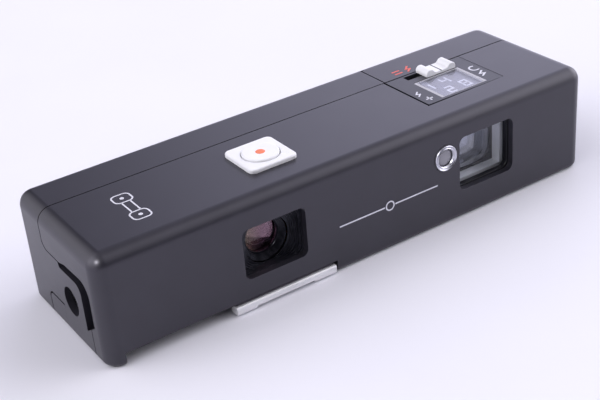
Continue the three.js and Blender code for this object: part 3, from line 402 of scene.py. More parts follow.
SATIN = dict(grain=0.22, bump=0.35, depth=0.012, fleck=0.1, drift=0.03)
MATT = dict(grain=0.3, bump=0.1, depth=0.004, fleck=0.15)
CARD = dict(grain=0.3, bump=0.15, fleck=0.05)
INK_LOOK = dict(grain=0.15, bump=0.2, depth=0.004)
FINISHES = {
    # the case's edges turn lighter and warmer: a painted highlight along them, mixed with a little wear
    "black_case": surface("satin_black", (0.019, 0.018, 0.025), 0.35, edge_wear_and_highlight=0.25,
                          edge_wear_and_highlight_colour=(0.1, 0.088, 0.085), specular=0.6, tint=(0.92, 0.9, 1.0), **SATIN),
    "black_inner": surface("matt_black", (0.012, 0.012, 0.015), 0.38, grain=0.3, fleck=0.15),
    "white_key": surface("white_plastic", (0.84, 0.84, 0.86), 0.33, grain=0.4, bump=0.12, fleck=0.025,
                         edge_wear_and_highlight=0.12, edge_wear_and_highlight_colour=(0.7, 0.69, 0.66), coat=0.15),
    "silver_grip": surface("silver_paint", (0.8, 0.795, 0.82), 0.38, metallic=0.35, grain=0.12,
                           bump=0.25, depth=0.006, fleck=0.05, edge_wear_and_highlight=0.2, edge_wear_and_highlight_colour=(0.55, 0.54, 0.52)),
    "steel": surface("plain_steel", (0.55, 0.56, 0.58), 0.28, metallic=1.0, grain=0.35, bump=0.2,
                     depth=0.006, fleck=0.08),
    "bright_ring": surface("polished_ring", (0.56, 0.56, 0.62), 0.3, metallic=1.0, grain=0.5, bump=0.1,
                           depth=0.004, fleck=0.04),
    "brass": surface("turned_brass", (0.58, 0.41, 0.17), 0.3, metallic=1.0, grain=0.3, bump=0.2,
                     depth=0.006, fleck=0.1),
    "black_steel": surface("black_steel", (0.02, 0.02, 0.022), 0.3, metallic=0.3, grain=0.2, bump=0.2,
                           depth=0.005, fleck=0.1),
    "acetal": surface("acetal", (0.78, 0.76, 0.7), 0.42, grain=0.5, bump=0.15, fleck=0.04, coat=0.05),
    "circuit_green": surface("lacquered_board", (0.035, 0.17, 0.07), 0.35, grain=0.8, fleck=0.2, coat=0.3),
    "copper": surface("enamelled_copper", (0.42, 0.17, 0.07), 0.3, metallic=0.8, grain=0.2, bump=0.4,
                      depth=0.02, fleck=0.15),
    "printed_card": surface("grey_card", (0.42, 0.42, 0.49), 0.5, **CARD),
    "clear": solid_glass("clear_glass", (0.93, 0.95, 0.97), 0.015),
    # the taking lens's reflection is painted on, from gold at its left to purple at its right
    "coated_glass": clear_glass("coated_glass", (0.92, 0.88, 0.86), ((0.8, 0.7, 0.56), (0.64, 0.46, 0.6)),
                                1.7, inner=0.5, across=(LENS.x - 4.2, LENS.x + 0.5)),
}
EXTRAS = {
    "window": clear_glass("window_glass", (0.96, 0.965, 0.98), ((1, 1, 1), (0.92, 0.94, 1)), 1.4),
    "amber": clear_glass("amber_coating", (0.75, 0.6, 0.4), ((0.8, 0.62, 0.42), (0.6, 0.45, 0.4)), 1.8,
                         dust=0.08),
    "finder_glass": clear_glass("finder_glass", (0.9, 0.91, 0.95), ((1, 1, 1), (0.88, 0.9, 1)), 2.4,
                                inner=0.25),
    "white_ink": surface("white_ink", (0.68, 0.68, 0.75), 0.5, fleck=0.06, **INK_LOOK),
    "red_ink": surface("red_ink", (0.72, 0.12, 0.09), 0.5, fleck=0.08, **INK_LOOK),
    "orange": surface("orange_dot", (0.86, 0.2, 0.08), 0.4, grain=0.2, bump=0.15, depth=0.004, fleck=0.06),
    "panel_black": surface("panel_black", (0.018, 0.018, 0.024), 0.37, specular=0.56,
                           tint=(0.92, 0.91, 1.0), **SATIN),
    "frosted_rim": surface("frosted_rim", (0.46, 0.455, 0.49), 0.4, grain=0.2, bump=0.15, depth=0.004,
                           fleck=0.05),
    "pale_card": surface("pale_card", (0.27, 0.265, 0.315), 0.5, **CARD),
    "duct_pale": surface("duct_pale", (0.93, 0.94, 0.96), 0.2, metallic=0.15, grain=0.3, bump=0.2,
                         fleck=0.06),
    # every edge turns fully to a pale bluish grey: painted highlights along the steps of the lens funnel, and
    # along the edges of the lens tube, its ring and the slider's index line
    "funnel_black": surface("funnel_black", (0.008, 0.008, 0.012), 0.3, specular=0.35,
                            tint=(0.85, 0.87, 1.0), edge_wear_and_highlight=1.0, edge_wear_and_highlight_colour=(0.11, 0.11, 0.135), edge=0.14, **MATT),
    "frame_black": surface("frame_black", (0.006, 0.006, 0.01), 0.35, specular=0.3, **MATT),
    "grey_dome": surface("grey_dome", (0.24, 0.235, 0.27), 0.22, bump=0.25, depth=0.006, fleck=0.08,
                         coat=0.5),
}

SLOTS = {part["node"]: part["material_slot"] for part in frame["record"]["subparts"]}
BODIES = {node: body for body, nodes in frame["record"]["behaviour"]["bodies"].items() for node in nodes}

# ---- publishing


def cleaned(mesh):
    """Merges stray points and flat neighbours, so that edges can be rounded."""
    bm = bmesh.new()
    bm.from_mesh(mesh)
    bmesh.ops.remove_doubles(bm, verts=bm.verts, dist=2e-3)
    bmesh.ops.dissolve_degenerate(bm, edges=bm.edges, dist=1e-3)
    bmesh.ops.dissolve_limit(bm, verts=bm.verts, edges=bm.edges, angle_limit=math.radians(0.4))
    bmesh.ops.recalc_face_normals(bm, faces=bm.faces)
    bm.to_mesh(mesh)
    bm.free()
    return mesh


def publish(name, mesh, nodes=(), body=None, slot=None, finish=None, bevel=0.0, steps=2, crease=32,
            sharp=()):
    """Turns a mesh in millimetres into a finished piece of the camera.

    nodes are the CAD nodes that it stands for; the first gives its body and its slot. The sharp
    tools cut it after its edges are rounded.
    """
    mesh = cleaned(mesh)
    obj = as_object(mesh)
    if bevel:
        rounding = obj.modifiers.new("edges", "BEVEL")
        rounding.width = bevel
        rounding.segments = steps
        rounding.limit_method = "ANGLE"
        rounding.angle_limit = math.radians(crease)
        rounding.miter_outer = "MITER_ARC"
    mesh = applied(obj)
    if sharp:
        mesh = cleaned(cut(mesh, *sharp))
    mesh.transform(Matrix.Scale(MM, 4))
    mesh.polygons.foreach_set("use_smooth", [True] * len(mesh.polygons))
    mesh.set_sharp_from_angle(angle=math.radians(40))
    obj = as_object(mesh)
    weighting = obj.modifiers.new("shading", "WEIGHTED_NORMAL")
    weighting.keep_sharp = True
    mesh = applied(obj)
    slot = slot or SLOTS[nodes[0]]
    mesh.materials.clear()
    mesh.materials.append(EXTRAS[finish] if finish else FINISHES[slot])
    mesh.name = name
    piece = as_object(mesh)
    piece.name = name
    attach(piece, body or BODIES[nodes[0]])
    if nodes:
        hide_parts(*nodes)
    return piece


def node_mesh(node):
    """A copy of a CAD node's own shape, in millimetres."""
    mesh = frame["nodes"][node].data.copy()
    mesh.transform(Matrix.Scale(1 / MM, 4))
    bm = bmesh.new()
    bm.from_mesh(mesh)
    bmesh.ops.remove_doubles(bm, verts=bm.verts, dist=1e-3)
    bm.to_mesh(mesh)
    bm.free()
    return mesh


def refined(node, name, bevel, **options):
    """A CAD node's own shape with its edges rounded."""
    return publish(name, node_mesh(node), [node], bevel=bevel, **options)


# ---- outer mouldings
ROUND_STEPS = 9  # steps in a quarter round along the body's edges


def body_form(inset):
    """The body's outer form, moved inwards by inset on every side."""
    middle = ((LEFT + RIGHT) / 2, (FRONT + BACK) / 2)
    foot_r, top_r = max(FOOT_R - inset, 0.2), TOP_R - inset
    # one side's profile: how far it stands in from the wall, and its height
    side = arc(foot_r, inset + foot_r, foot_r, 270, 180, ROUND_STEPS)
    side += arc(top_r, TOP - inset - top_r, top_r, 180, 90, ROUND_STEPS)
    rings = []
    for extra, z in side:
        shrink = inset + extra
        w, d = RIGHT - LEFT - 2 * shrink, BACK - FRONT - 2 * shrink
        rings.append(placed("Z", rounded(*middle, w, d, max(CORNER_R - shrink, 0.05), ROUND_STEPS), z))
    return loft(rings)


def door_end_outline(grow):
    """The film door's share of the left end wall, in Y and Z, grown towards the housing."""
    shelf, tab, toe = 17.9 + grow, -10.6 - grow, -12.8 - grow
    seam = SEAM_Y + 0.2 - grow
    return (
        [(FAR, -FAR), (FAR, FAR), (seam, FAR)]
        + arc(seam - 2.6, shelf + 2.6, 2.6, 0, -90, 16)
        + [(-0.4 - grow, shelf), (-0.9 - grow, 16.7 + grow)]
        + arc(tab + 2.4, 14.3 + grow, 2.4, 90, 180, 16)
        + [(tab, 5.8 + grow), (toe, 7.2 + grow), (toe, -FAR)]
    )


def notch_outline():
    """The finger notch round the door's end tab, in Y and Z."""
    return (
        [(-0.2, 16), (-0.2, 17.9), (-4.2, 18.9)]
        + arc(-11.4, 15.5, 3.6, 90, 180, 16)
        + [(-15, 8.7), (-10.4, 5.7), (-10.4, 12)]
    )


def door_region(grow):
    """Everything of the shell that belongs to the film door, grown by grow."""
    rear = block(-FAR, HINGE.x - DOOR_GAP / 2 + grow, SEAM_Y - grow, FAR, -FAR, FAR)
    end = prism("X", door_end_outline(grow), -FAR, LEFT_IN + grow)
    return joined(rear, end)


def front_window(place, w, h, r):
    return prism("Y", rounded(place.x, place.z, w, h, r, 10), FRONT - 1, FRONT_IN + 1)


def hinge_rod(r, z0, z1):
    return rod("Z", HINGE.x, HINGE.y, r, z0, z1, 32)


def base_opening():
    return block(LEFT_IN + 0.2, RIGHT_IN - 0.2, FRONT_IN + 0.2, BACK_IN - 0.2, -1, BASE_TOP + 0.1)


def shell():
    return cut(body_form(0), body_form(WALL))


def make_front_shell():
    panel_low, panel_high = span("scale_panel")
    mesh = cut(
        shell(),
        door_region(DOOR_GAP),
        prism("X", notch_outline(), LEFT - 1, LEFT_IN + 0.3),
        block(HINGE.x - 1, FAR, SEAM_Y - SEAM, FAR, -1, FAR),
        base_opening(),
        block(CUT_LEFT, CUT_RIGHT, FRONT - 1, FRONT_IN + 0.3, -1, CUT_TOP),
        block(CUT_LEFT, CUT_RIGHT, FRONT - 1, FRONT_IN + 2, -1, BASE_TOP),
        front_window(LENS_FRAME, 16.2, 12.3, 1.6),
        front_window(FINDER, 16.7, 14, 1.8),
        rod("Y", SENSOR.x, SENSOR.z, 3.32, FRONT - 1, FRONT_IN + 1),
        rod("Z", RELEASE.x, RELEASE.y, 5.4, TOP_IN - 1, TOP + 1),
    )
    room = [(panel_low.x - 0.6, panel_low.y - 0.6), (panel_high.x + 0.02, panel_low.y - 0.15),
            (panel_high.x + 0.02, SEAM_Y), (panel_low.x - 0.6, SEAM_Y)]
    panel_room = prism("Z", room, TOP_IN - 1, TOP + 1)
    publish("front_shell", mesh, ["front_housing"], bevel=0.14, steps=3, sharp=[panel_room])


def make_rear_shell():
    web = block(HINGE.x, HINGE.x + 2.6, HINGE.y - 0.7, BACK_IN + 0.4, KNUCKLE_LOW_Z, KNUCKLE_HIGH_Z)
    mesh = common(shell(), block(HINGE.x + 0.2, FAR, SEAM_Y, FAR, -1, FAR))
    mesh = cut(
        mesh,
        base_opening(),
        prism("Y", rounded(FINDER.x, FINDER.z, 13.4, 11.4, 2.2), BACK_IN - 1, BACK + 1),
        rod("Y", CELL.x, CELL.z, 7.7, BACK_IN - 1, BACK + 1),
        hinge_rod(BARREL_R + RUN, -1, FAR),
    )
    mesh = joined(mesh, web, hinge_rod(BARREL_R, KNUCKLE_LOW_Z, KNUCKLE_HIGH_Z))
    mesh = cut(mesh, hinge_rod(HINGE_PIN_R + FIT, -1, FAR))
    publish("rear_shell", mesh, ["rear_housing"], bevel=0.12, steps=3)


def make_door_shell():
    reach = BARREL_R + RUN
    low, high = KNUCKLE_LOW_Z - 0.3, KNUCKLE_HIGH_Z + 0.3
    latch_low, latch_high = span("door_latch")
    top, front, rear = latch_high.z + 0.45, latch_low.y - 0.04, latch_high.y + 0.3
    latch_hole = [(front, -1), (rear, -1)] + arc(rear - 2, top - 2, 2, 0, 90, 16) + [(front, top)]
    mesh = common(shell(), door_region(0))
    mesh = cut(
        mesh,
        base_opening(),
        block(HINGE.x - 1.55, HINGE.x + 1, BACK_IN - 0.3, BACK + 1, -1, FAR),
        hinge_rod(reach, low, high),
        block(HINGE.x - reach, HINGE.x + 1, HINGE.y - 1.2, BACK + 1, low, high),
    )
    for z0, z1 in ((0, low), (high, TOP)):
        web = block(HINGE.x - 2.2, HINGE.x, HINGE.y - 0.8, HINGE.y + 0.5, z0, z1)
        mesh = joined(mesh, common(joined(hinge_rod(BARREL_R, z0, z1), web), body_form(0)))
    mesh = cut(
        mesh,
        hinge_rod(HINGE_PIN_R + FIT, 2.4, 23.2),
        prism("Y", rounded(LENS.x, LENS.z, 22, 8, 1.5), BACK_IN - 1, BACK + 1),
        rod("X", SOCKET.y, SOCKET.z, 3.4, LEFT - 1, LEFT_IN + 1),
    )
    seat = block(-62.6, -61.8, 3.8, 10.2, 4.9, 8.2)
    arm = block(LEFT_IN - 0.2, -61.8, 9.2, 10.2, 4.9, 8.2)
    latch_room = prism("X", latch_hole, LEFT - 1, LEFT_IN + 0.3)
    publish("door_shell", joined(mesh, seat, arm), ["film_door"], bevel=0.14, steps=3, sharp=[latch_room])


SCREWS = ["base_screw_1", "base_screw_2", "base_screw_3", "base_screw_4"]


def make_base():
    low, high = span("base_plate")
    notch = block(HINGE.x - 3, HINGE.x + 2.2, HINGE.y - 2.2, FAR, -1, FAR)
    slide_room = block(-FAR, CUT_RIGHT + 0.3, -FAR, CUT_BACK, -1, FAR)
    tools = [notch, slide_room]
    for node in SCREWS:
        place = centre(node)
        tools.append(rod("Z", place.x, place.y, 1, -1, BASE_TOP + 1, 32))
        sink = [(0, -1), (2.05, -1), (2.05, 0), (1.9, 0.15), (1.9, 0.9), (0, 0.9)]
        tools.append(turned("Z", place, sink))
    mesh = cut(block(low.x, high.x, low.y, high.y, 0, BASE_TOP), *tools)
    publish("base_cover", mesh, ["base_plate"], bevel=0.12)
    for node in SCREWS:
        place, top = centre(node), span(node)[1].z
        profile = [(0, 0.1), (1.2, 0.12), (1.6, 0.24), (1.75, 0.45), (1.75, 0.85), (0.85, 0.85)]
        profile += [(0.85, top), (0, top)]
        slot = block(place.x - 2, place.x + 2, place.y - 0.25, place.y + 0.25, 0, 0.45)
        head = cut(turned("Z", place, profile, 48), slot)
        publish(node + "_turned", head, [node], bevel=0.04, crease=50)


make_front_shell()
make_rear_shell()
make_door_shell()
make_base()

# ---- taking lens


def make_lens_funnel():
    """A frame whose mouth steps down from a rounded rectangle to a round hole."""
    low, high = span("lens_bezel")
    w, h = high.x - low.x, high.z - low.z
    outer = rounded(LENS_FRAME.x, LENS_FRAME.z, w, h, 2, 12)
    rings = [placed("Y", outer, high.y), placed("Y", outer, low.y)]
    start, end = (16.1, 12.25, 1.7, LENS_FRAME.z), (11.45, 11.45, 5.72, LENS.z)
    # each tread: how far it has gone from the mouth to the hole, in width and in depth
    treads = ((0, 0), (0.16, 0.16), (0.26, 0.24), (0.5, 0.52), (0.64, 0.66), (0.78, 0.78), (1, 0.9))
    depths = [low.y + (high.y - low.y) * down for _, down in treads] + [high.y]
    for i, (share, _) in enumerate(treads):
        width, height, r, z = [a + (b - a) * share for a, b in zip(start, end)]
        ring = rounded(LENS.x, z, width, height, r, 12)
        rings += [placed("Y", ring, depths[i]), placed("Y", ring, depths[i + 1])]
    publish("lens_funnel", loft(rings, closed=True), ["lens_bezel"], finish="funnel_black")


def make_lens_barrel():
    low, high = span("lens_barrel")
    face, back = low.y, high.y
    outer, mouth, seat, depth, treads = 5.6, 5.4, 4.51, 1.1, 5
    cone = [(outer, face + 0.06), (outer - 0.06, face)]
    for i in range(treads):
        r = mouth + (seat - mouth) * i / treads
        y = face + depth * i / treads
        cone += [(r, y), (r, y + depth / treads)]
    profile = [(outer, back)] + cone + [
        (seat, face + depth), (seat, -12), (2.96, -12), (2.96, -11.15), (2.4, -11.15), (2.4, -11),
        (3.06, -11), (3.06, back),
    ]
    pin = rod("Z", LENS.x - 3, -12, 0.6, 18, high.z, 24)
    barrel = joined(turned("Y", LENS, profile, 96), pin)
    publish("lens_tube", barrel, ["lens_barrel"], finish="funnel_black")
    low, high = span("lens_retainer")
    ring = [(4.45, high.y), (4.45, low.y + 0.05), (4.38, low.y), (4.25, low.y), (4.1, low.y + 0.2),
            (4.1, high.y)]
    ring = turned("Y", LENS, ring, 96)
    publish("lens_retaining_ring", ring, ["lens_retainer"], finish="funnel_black")


def bulged(radius, front, rear, bulge_front, bulge_rear, steps=10):
    """A lens element: radius, rim faces, and how far each face bulges."""
    radii = [radius * i / steps for i in range(steps + 1)]
    ahead = [(r, front - bulge_front * (1 - (r / radius) ** 2)) for r in radii]
    behind = [(r, rear + bulge_rear * (1 - (r / radius) ** 2)) for r in reversed(radii)]
    return turned("Y", LENS, ahead + behind, 64)


make_lens_funnel()
make_lens_barrel()
for part, sizes, finish in (  # radius, Y of the rim's two ends, bulge of the two faces
    ("front", (4.45, -12.9, -12.4, 0.4, 0.3), None),
    ("middle", (2.8, -11.85, -11.3, -0.15, -0.15), "amber"),
    ("rear", (2.9, -10.9, -10.1, 0.05, 0.3), "amber"),
):
    publish(part + "_glass", bulged(*sizes), ["lens_" + part + "_element"], finish=finish)

# ---- viewfinder and sensor


def framed(sections, steps=10, closed=True):
    """A ring round the finder's axis, through sections of (width, height, corner radius, Y)."""
    rings = [placed("Y", rounded(FINDER.x, FINDER.z, w, h, r, steps), y) for w, h, r, y in sections]
    return loft(rings, closed)


def make_finder():
    bezel_low, bezel_high = span("finder_bezel")
    y0, y1 = bezel_low.y, bezel_high.y
    sections = [
        (18.2, 15.6, 1.6, y1), (18.2, 15.6, 1.6, y0), (16.2, 13.6, 1.8, y0), (16, 13.4, 1.75, y0 + 0.15),
        (16, 13.4, 1.7, y1),
    ]
    publish("finder_frame", framed(sections), ["finder_bezel"], finish="frame_black", bevel=0.05)
    low, high = span("finder_window")
    pane = framed([(17.6, 15, 1, low.y), (17.6, 15, 1, high.y)], 8, closed=False)
    publish("finder_pane", pane, ["finder_window"], finish="window", bevel=0.1)
    low, high = span("finder_objective")
    seat_low, seat_high = low.y + 0.1, high.y - 0.1
    w, h = high.x - low.x, high.z - low.z

    def ball(middle, r):
        half = arc(0, middle, r, -87, 87, 58)
        return turned("Y", FINDER, [(0, middle - r), *half, (0, middle + r)], 128)

    bulge, hollow, hollow_depth = 60.0, 9.0, 1.6  # radii of its faces, and how deep the rear one is
    size = (w + 0.5, h + 0.5, 2.85)
    lens = framed([(*size, low.y), (*size, high.y)], 12, closed=False)
    lens = cut(common(lens, ball(low.y + bulge, bulge)), ball(high.y - hollow_depth + hollow, hollow))
    publish("finder_front_lens", lens, ["finder_objective"], finish="finder_glass", bevel=0.2, steps=3,
            crease=50)
    profile = [(0, 16.2), (1, 16.24), (2, 16.35), (2.8, 16.6), (3.3, 16.85), (3.4, 16.95), (3.4, 18.05),
               (3.3, 18.12), (2.8, 18.2), (2, 18.35), (1, 18.46), (0, 18.5)]
    publish("eye_lens", turned("Y", FINDER, profile, 64), ["finder_eyepiece"])
    low, high = span("eyepiece_frame")
    w, h = high.x - low.x, high.z - low.z
    sections = [
        (7, 7, 3.5, low.y), (w, h, 2, low.y), (w, h, 2, high.y - 0.3), (w - 0.6, h - 0.6, 1.7, high.y),
        (9.2, 7.2, 1.7, high.y), (8.6, 6.6, 1.6, high.y - 0.3), (8.2, 6.4, 1.6, 18.75),
        (7, 6.2, 3, 18.65), (7, 7, 3.5, 18.6),
    ]
    publish("eyepiece_surround", framed(sections), ["eyepiece_frame"])
    node = "finder_tunnel"
    for name, y0, y1, nodes, finish in (
        ("finder_duct", seat_high, FAR, [node], "duct_pale"),
        # a black band of the pale duct round the objective: painted shade where the gap beside the lens lies in
        # shadow
        ("finder_duct_shade_band", seat_low - 0.05, seat_high, [], "frame_black"),
        ("finder_duct_mouth", -FAR, seat_low - 0.05, [], "duct_pale"),
    ):
        part = common(node_mesh(node), block(-FAR, FAR, y0, y1, -FAR, FAR))
        publish(name, part, nodes, body=BODIES[node], slot=SLOTS[node], finish=finish)


def make_sensor():
    low, high = span("sensor_ring")
    lip = [(3.2, 0.3), (3.17, 0.12), (3.1, 0.03), (3.02, 0), (2.94, 0.03)]
    groove = [(2.85, 0.14), (2.6, 0.2), (2.5, 0.1), (2.42, 0.06), (2.34, 0.1)]
    throat = [(2.12, 0.5), (2.45, 0.9), (2.5, 1)]
    section = [(3.2, high.y)] + [(r, low.y + y) for r, y in lip + groove + throat] + [(2.5, high.y)]
    publish("sensor_trim", turned("Y", SENSOR, section, 96), ["sensor_ring"])
    low, high = span("sensor_lens")
    r, rise = 2.1, 0.35
    dome = [(0, low.y)] + [(r * x, low.y + rise * (1 + y)) for x, y in arc(0, 0, 1, -80, 0, 8)]
    dome += [(r, low.y + 0.6), (2.4, low.y + 0.75), (2.4, high.y), (0, high.y)]
    publish("sensor_dome", turned("Y", SENSOR, dome, 64), ["sensor_lens"], finish="grey_dome")


make_finder()
make_sensor()

# ---- release


def make_release():
    low, high = span("release_bezel")
    w, d, top = high.x - low.x, high.y - low.y, high.z
    soft, corner, rings = 0.4, 1.45, []
    for inset, z in [(0, TOP + 0.05)] + arc(soft, top - soft, soft, 180, 90, 5):
        outline = rounded(RELEASE.x, RELEASE.y, w - 2 * inset, d - 2 * inset, corner - inset, 8)
        rings.append(placed("Z", outline, z))
    skirt = rod("Z", RELEASE.x, RELEASE.y, 5.2, low.z, TOP + 0.5, 96)
    hole = [(0, 20), (4.45, 20), (4.45, top - 0.12), (4.6, top), (4.6, top + 2), (0, top + 2)]
    mesh = cut(joined(loft(rings), skirt), turned("Z", RELEASE, hole, 96))
    publish("release_plate", mesh, ["release_bezel"], bevel=0.04)
    low, high = span("release_button")
    top, r, soft = high.z, 4.3, 0.3
    rim = arc(r - soft, top - soft, soft, 0, 90, 5)
    dish = [(3.2, top - 0.02), (2.2, top - 0.06), (1.25, top - 0.08), (0, top - 0.08)]
    disc = turned("Z", RELEASE, [(0, 25.7), (r, 25.7)] + rim + dish, 96)
    leg = rod("Z", RELEASE.x + 3.5, RELEASE.y, 0.6, low.z, 26, 24)
    guide = rod("Z", RELEASE.x, RELEASE.y, 1.3, 24.6, 26, 32)
    publish("release_disc", joined(disc, leg, guide), ["release_button"], bevel=0.03)
    dot = [(0, top - 0.3), (1.1, top - 0.3), (1.1, top - 0.06), (1, top - 0.03), (0, top - 0.02)]
    dot = turned("Z", RELEASE, dot, 48)
    publish("release_dot", dot, body="release_button", slot="white_key", finish="orange")


make_release()

# ---- focus scale and slider


def make_scale():
    low, high = span("scale_panel")
    lip, lean = 0.12, 0.8  # its front and left sides lean in below a thin lip
    window_low, window_high = span("scale_window")
    window_room = block(window_low.x, window_high.x, window_low.y, window_high.y, 20, 30)
    slider_room = block(31, 42.2, SLOT_FRONT, SLOT_BACK, 20, 30)

    def plan(inset, z):
        x, y = low.x + inset, low.y + inset
        return placed("Z", [(x, y), (high.x + 0.5, y), (high.x + 0.5, high.y), (x, high.y)], z)

    levels = ((lean, low.z), (lean, PLATE_TOP - 2 * lip), (0, PLATE_TOP - lip), (0, PLATE_TOP))
    mesh = cut(loft([plan(*level) for level in levels]), slider_room)
    past = block(high.x, high.x + 2, -FAR, FAR, 20, 30)
    publish("scale_plate", mesh, ["scale_panel"], finish="panel_black", bevel=0.06, sharp=[window_room, past])
    gap, rim_left, rim_right, rim_front, rim_back = 0.02, 0.95, 0.8, 0.2, 0.3
    x0, x1, y0, y1 = window_low.x, window_high.x, window_low.y + gap, window_high.y - gap
    top = [(x0, window_low.z), (x1, window_low.z), (x1, TOP - 0.04), (x0, TOP - 0.12)]
    inside = [x0 + rim_left, x1 - rim_right, y0 + rim_front, y1 - rim_back]
    rim = cut(prism("Y", top, y0, y1), block(*inside, 20, 30))
    publish("scale_pane_rim", rim, body="camera_body", slot="clear", finish="frosted_rim", bevel=0.08)
    inside = [place + shift for place, shift in zip(inside, (gap, -gap, gap, -gap))]
    clear = block(*inside, window_low.z, TOP - 0.14)
    publish("scale_pane", clear, ["scale_window"], finish="window", bevel=0.05)
    refined("scale_card", "scale_print_card", 0.05, finish="pale_card")


def make_knob():
    """The slider: two raised round ends on a flat saddle with an index line across it."""
    low, high = span("focus_knob")
    foot, saddle, ridge = TOP - 0.15, TOP + 0.65, 2.4
    crest = high.z - ridge / 2
    x0, x1 = low.x, high.x
    fall = [(1.9, 0.86), (2.2, 0.6), (2.45, 0.3), (2.75, 0.1), (3.1, 0)]  # inner flank of each end
    drop = high.z - saddle
    outline = [(x0 + 0.1, foot), (x1 - 0.1, foot)] + arc(x1 - ridge / 2, crest, ridge / 2, 0, 105, 14)
    outline += [(x1 - run, saddle + drop * up) for run, up in fall]
    outline += [(x0 + run, saddle + drop * up) for run, up in reversed(fall)]
    outline += arc(x0 + ridge / 2, crest, ridge / 2, 75, 180, 14)
    stem = block(36.6, 41.8, SLOT_FRONT + RUN, SLOT_BACK - RUN, low.z, foot + 0.2)
    body = prism("Y", outline, low.y, high.y)
    middle = (x0 + x1) / 2
    groove = block(middle - 0.2, middle + 0.2, low.y - 1, high.y + 1, saddle - 0.15, saddle + 1)
    publish("slider_knob", joined(body, stem), ["focus_knob"], bevel=0.22, steps=4, crease=50, sharp=[groove])
    line = block(middle - 0.19, middle + 0.19, low.y + 0.05, high.y - 0.05, saddle - 0.16, saddle - 0.04)
    publish("slider_index", line, body="focus_slider", slot="black_case", finish="funnel_black")
    refined("focus_link", "slider_link", 0.05)


make_scale()
make_knob()

# ---- film advance


def make_advance():
    low, high = span("advance_grip")
    y, z = (low.y + high.y) / 2, (low.z + high.z) / 2
    bar = prism("X", rounded(y, z, high.y - low.y, high.z - low.z, 0.45, 8), low.x, high.x)
    scoop = block(low.x + 5, high.x - 6, low.y - 1, high.y + 1, -1, 0.85)
    publish("silver_grip_bar", cut(bar, scoop), ["advance_grip"], bevel=0.16, steps=3)
    refined("advance_slide", "slide_plate", 0.08)
    for node in ("advance_pinion", "advance_idler", "takeup_driver"):
        refined(node, node + "_gear", 0.04, crease=25)
    for node in ("pinion_axle", "idler_axle"):
        place, (low, high) = centre(node), span(node)
        axle = turned("Z", place, pin_profile(0.9, low.z, high.z, 0.1), 32)
        publish(node + "_turned", axle, [node])


make_advance()

# ---- film door fittings


def make_door_fittings():
    low, high = span("door_hinge_pin")
    pin = turned("Z", HINGE, pin_profile(HINGE_PIN_R, low.z, high.z, 0.15), 32)
    publish("hinge_pin_turned", pin, ["door_hinge_pin"])
    low, high = span("film_window")
    pane = prism("Y", rounded(LENS.x, LENS.z, high.x - low.x, high.z - low.z, 1.4, 10), low.y, high.y)
    publish("film_pane", pane, ["film_window"], finish="window", bevel=0.15)
    for node in ("cartridge_spring_left", "cartridge_spring_right"):
        refined(node, node + "_leaf", 0.04, crease=40)
    low, high = span("door_latch")
    tab = [(low.y, low.z), (high.y, low.z)] + arc(high.y - 1.7, high.z - 1.7, 1.7, 0, 90, 14)
    tab = common(prism("X", tab + [(low.y, high.z)], LEFT, LEFT + 1.4), body_form(0))
    guide = block(LEFT + 1.2, high.x, 2.9, 5.9, 1.95, 3.25)
    publish("latch_tab", joined(tab, guide), ["door_latch"], bevel=0.05)
    place, (low, high) = centre("latch_spring"), span("latch_spring")
    wire = helix("X", place, 0.62, low.x + 0.13, high.x - 0.13, 5)
    spring = publish("latch_spring_wire", tube(wire, 0.13), ["latch_spring"])
    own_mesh(spring)


def make_socket():
    """A steel bush with a screw thread cut in its bore."""
    low, high = span("strap_socket")
    profile = [(4.4, high.x), (4.4, low.x + 0.1), (4.3, low.x), (3.55, low.x), (3.3, low.x + 0.2)]
    pitch, bore, root = 0.9, 3.18, 3.5
    x = low.x + 0.3
    while x + pitch < high.x:
        profile += [(bore, x), (bore, x + 0.12), (root, x + pitch / 2), (root, x + pitch / 2 + 0.08)]
        x += pitch
    profile.append((bore, high.x))
    publish("threaded_bush", turned("X", SOCKET, profile, 64), ["strap_socket"])


make_door_fittings()
make_socket()

# ---- battery


def make_battery():
    low, high = span("battery")
    r, step = (high.x - low.x) / 2, high.y - 0.8
    profile = [(0, low.y), (r - 0.8, low.y), (r - 0.5, low.y + 0.15), (r - 0.1, low.y + 0.25),
               (r, low.y + 0.5), (r, step - 0.4), (r - 0.4, step), (2.5, step), (2.4, step + 0.1),
               (2.4, high.y - 0.2), (2.2, high.y), (0, high.y)]
    publish("battery_can", turned("Y", CELL, profile, 64), ["battery"])
    low, high = span("battery_spring")
    wire = helix("Y", CELL, 3, low.y + 0.3, high.y - 0.3, 4)
    publish("battery_spring_wire", tube(wire, 0.3), ["battery_spring"])
    low, high = span("battery_contact")
    disc = turned("Y", CELL, pin_profile(3.2, low.y, high.y, 0.1, 0.08), 48)
    publish("battery_contact_disc", disc, ["battery_contact"])
    refined("battery_holder", "battery_cradle", 0.1)
    low, high = span("battery_cap")
    face, r, soft = high.y, 7.4, 0.35
    rim = arc(r - soft, face - soft, soft, 0, 90, 5)
    step = [(6.3, face), (6.15, face - 0.15), (6, face - 0.2), (0, face - 0.2)]
    cap = turned("Y", CELL, [(0, low.y), (r, low.y)] + rim + step, 96)
    lugs = block(low.x, high.x, 16.4, 17.2, CELL.z - 1.5, CELL.z + 1.5)
    coin = prism("Y", rounded(CELL.x, CELL.z, 10, 1.5, 0.74, 8), face - 0.95, face + 1)
    publish("battery_door", cut(joined(cap, lugs), coin), ["battery_cap"], bevel=0.08, steps=3)


make_battery()

# ---- shutter, electronics, chassis


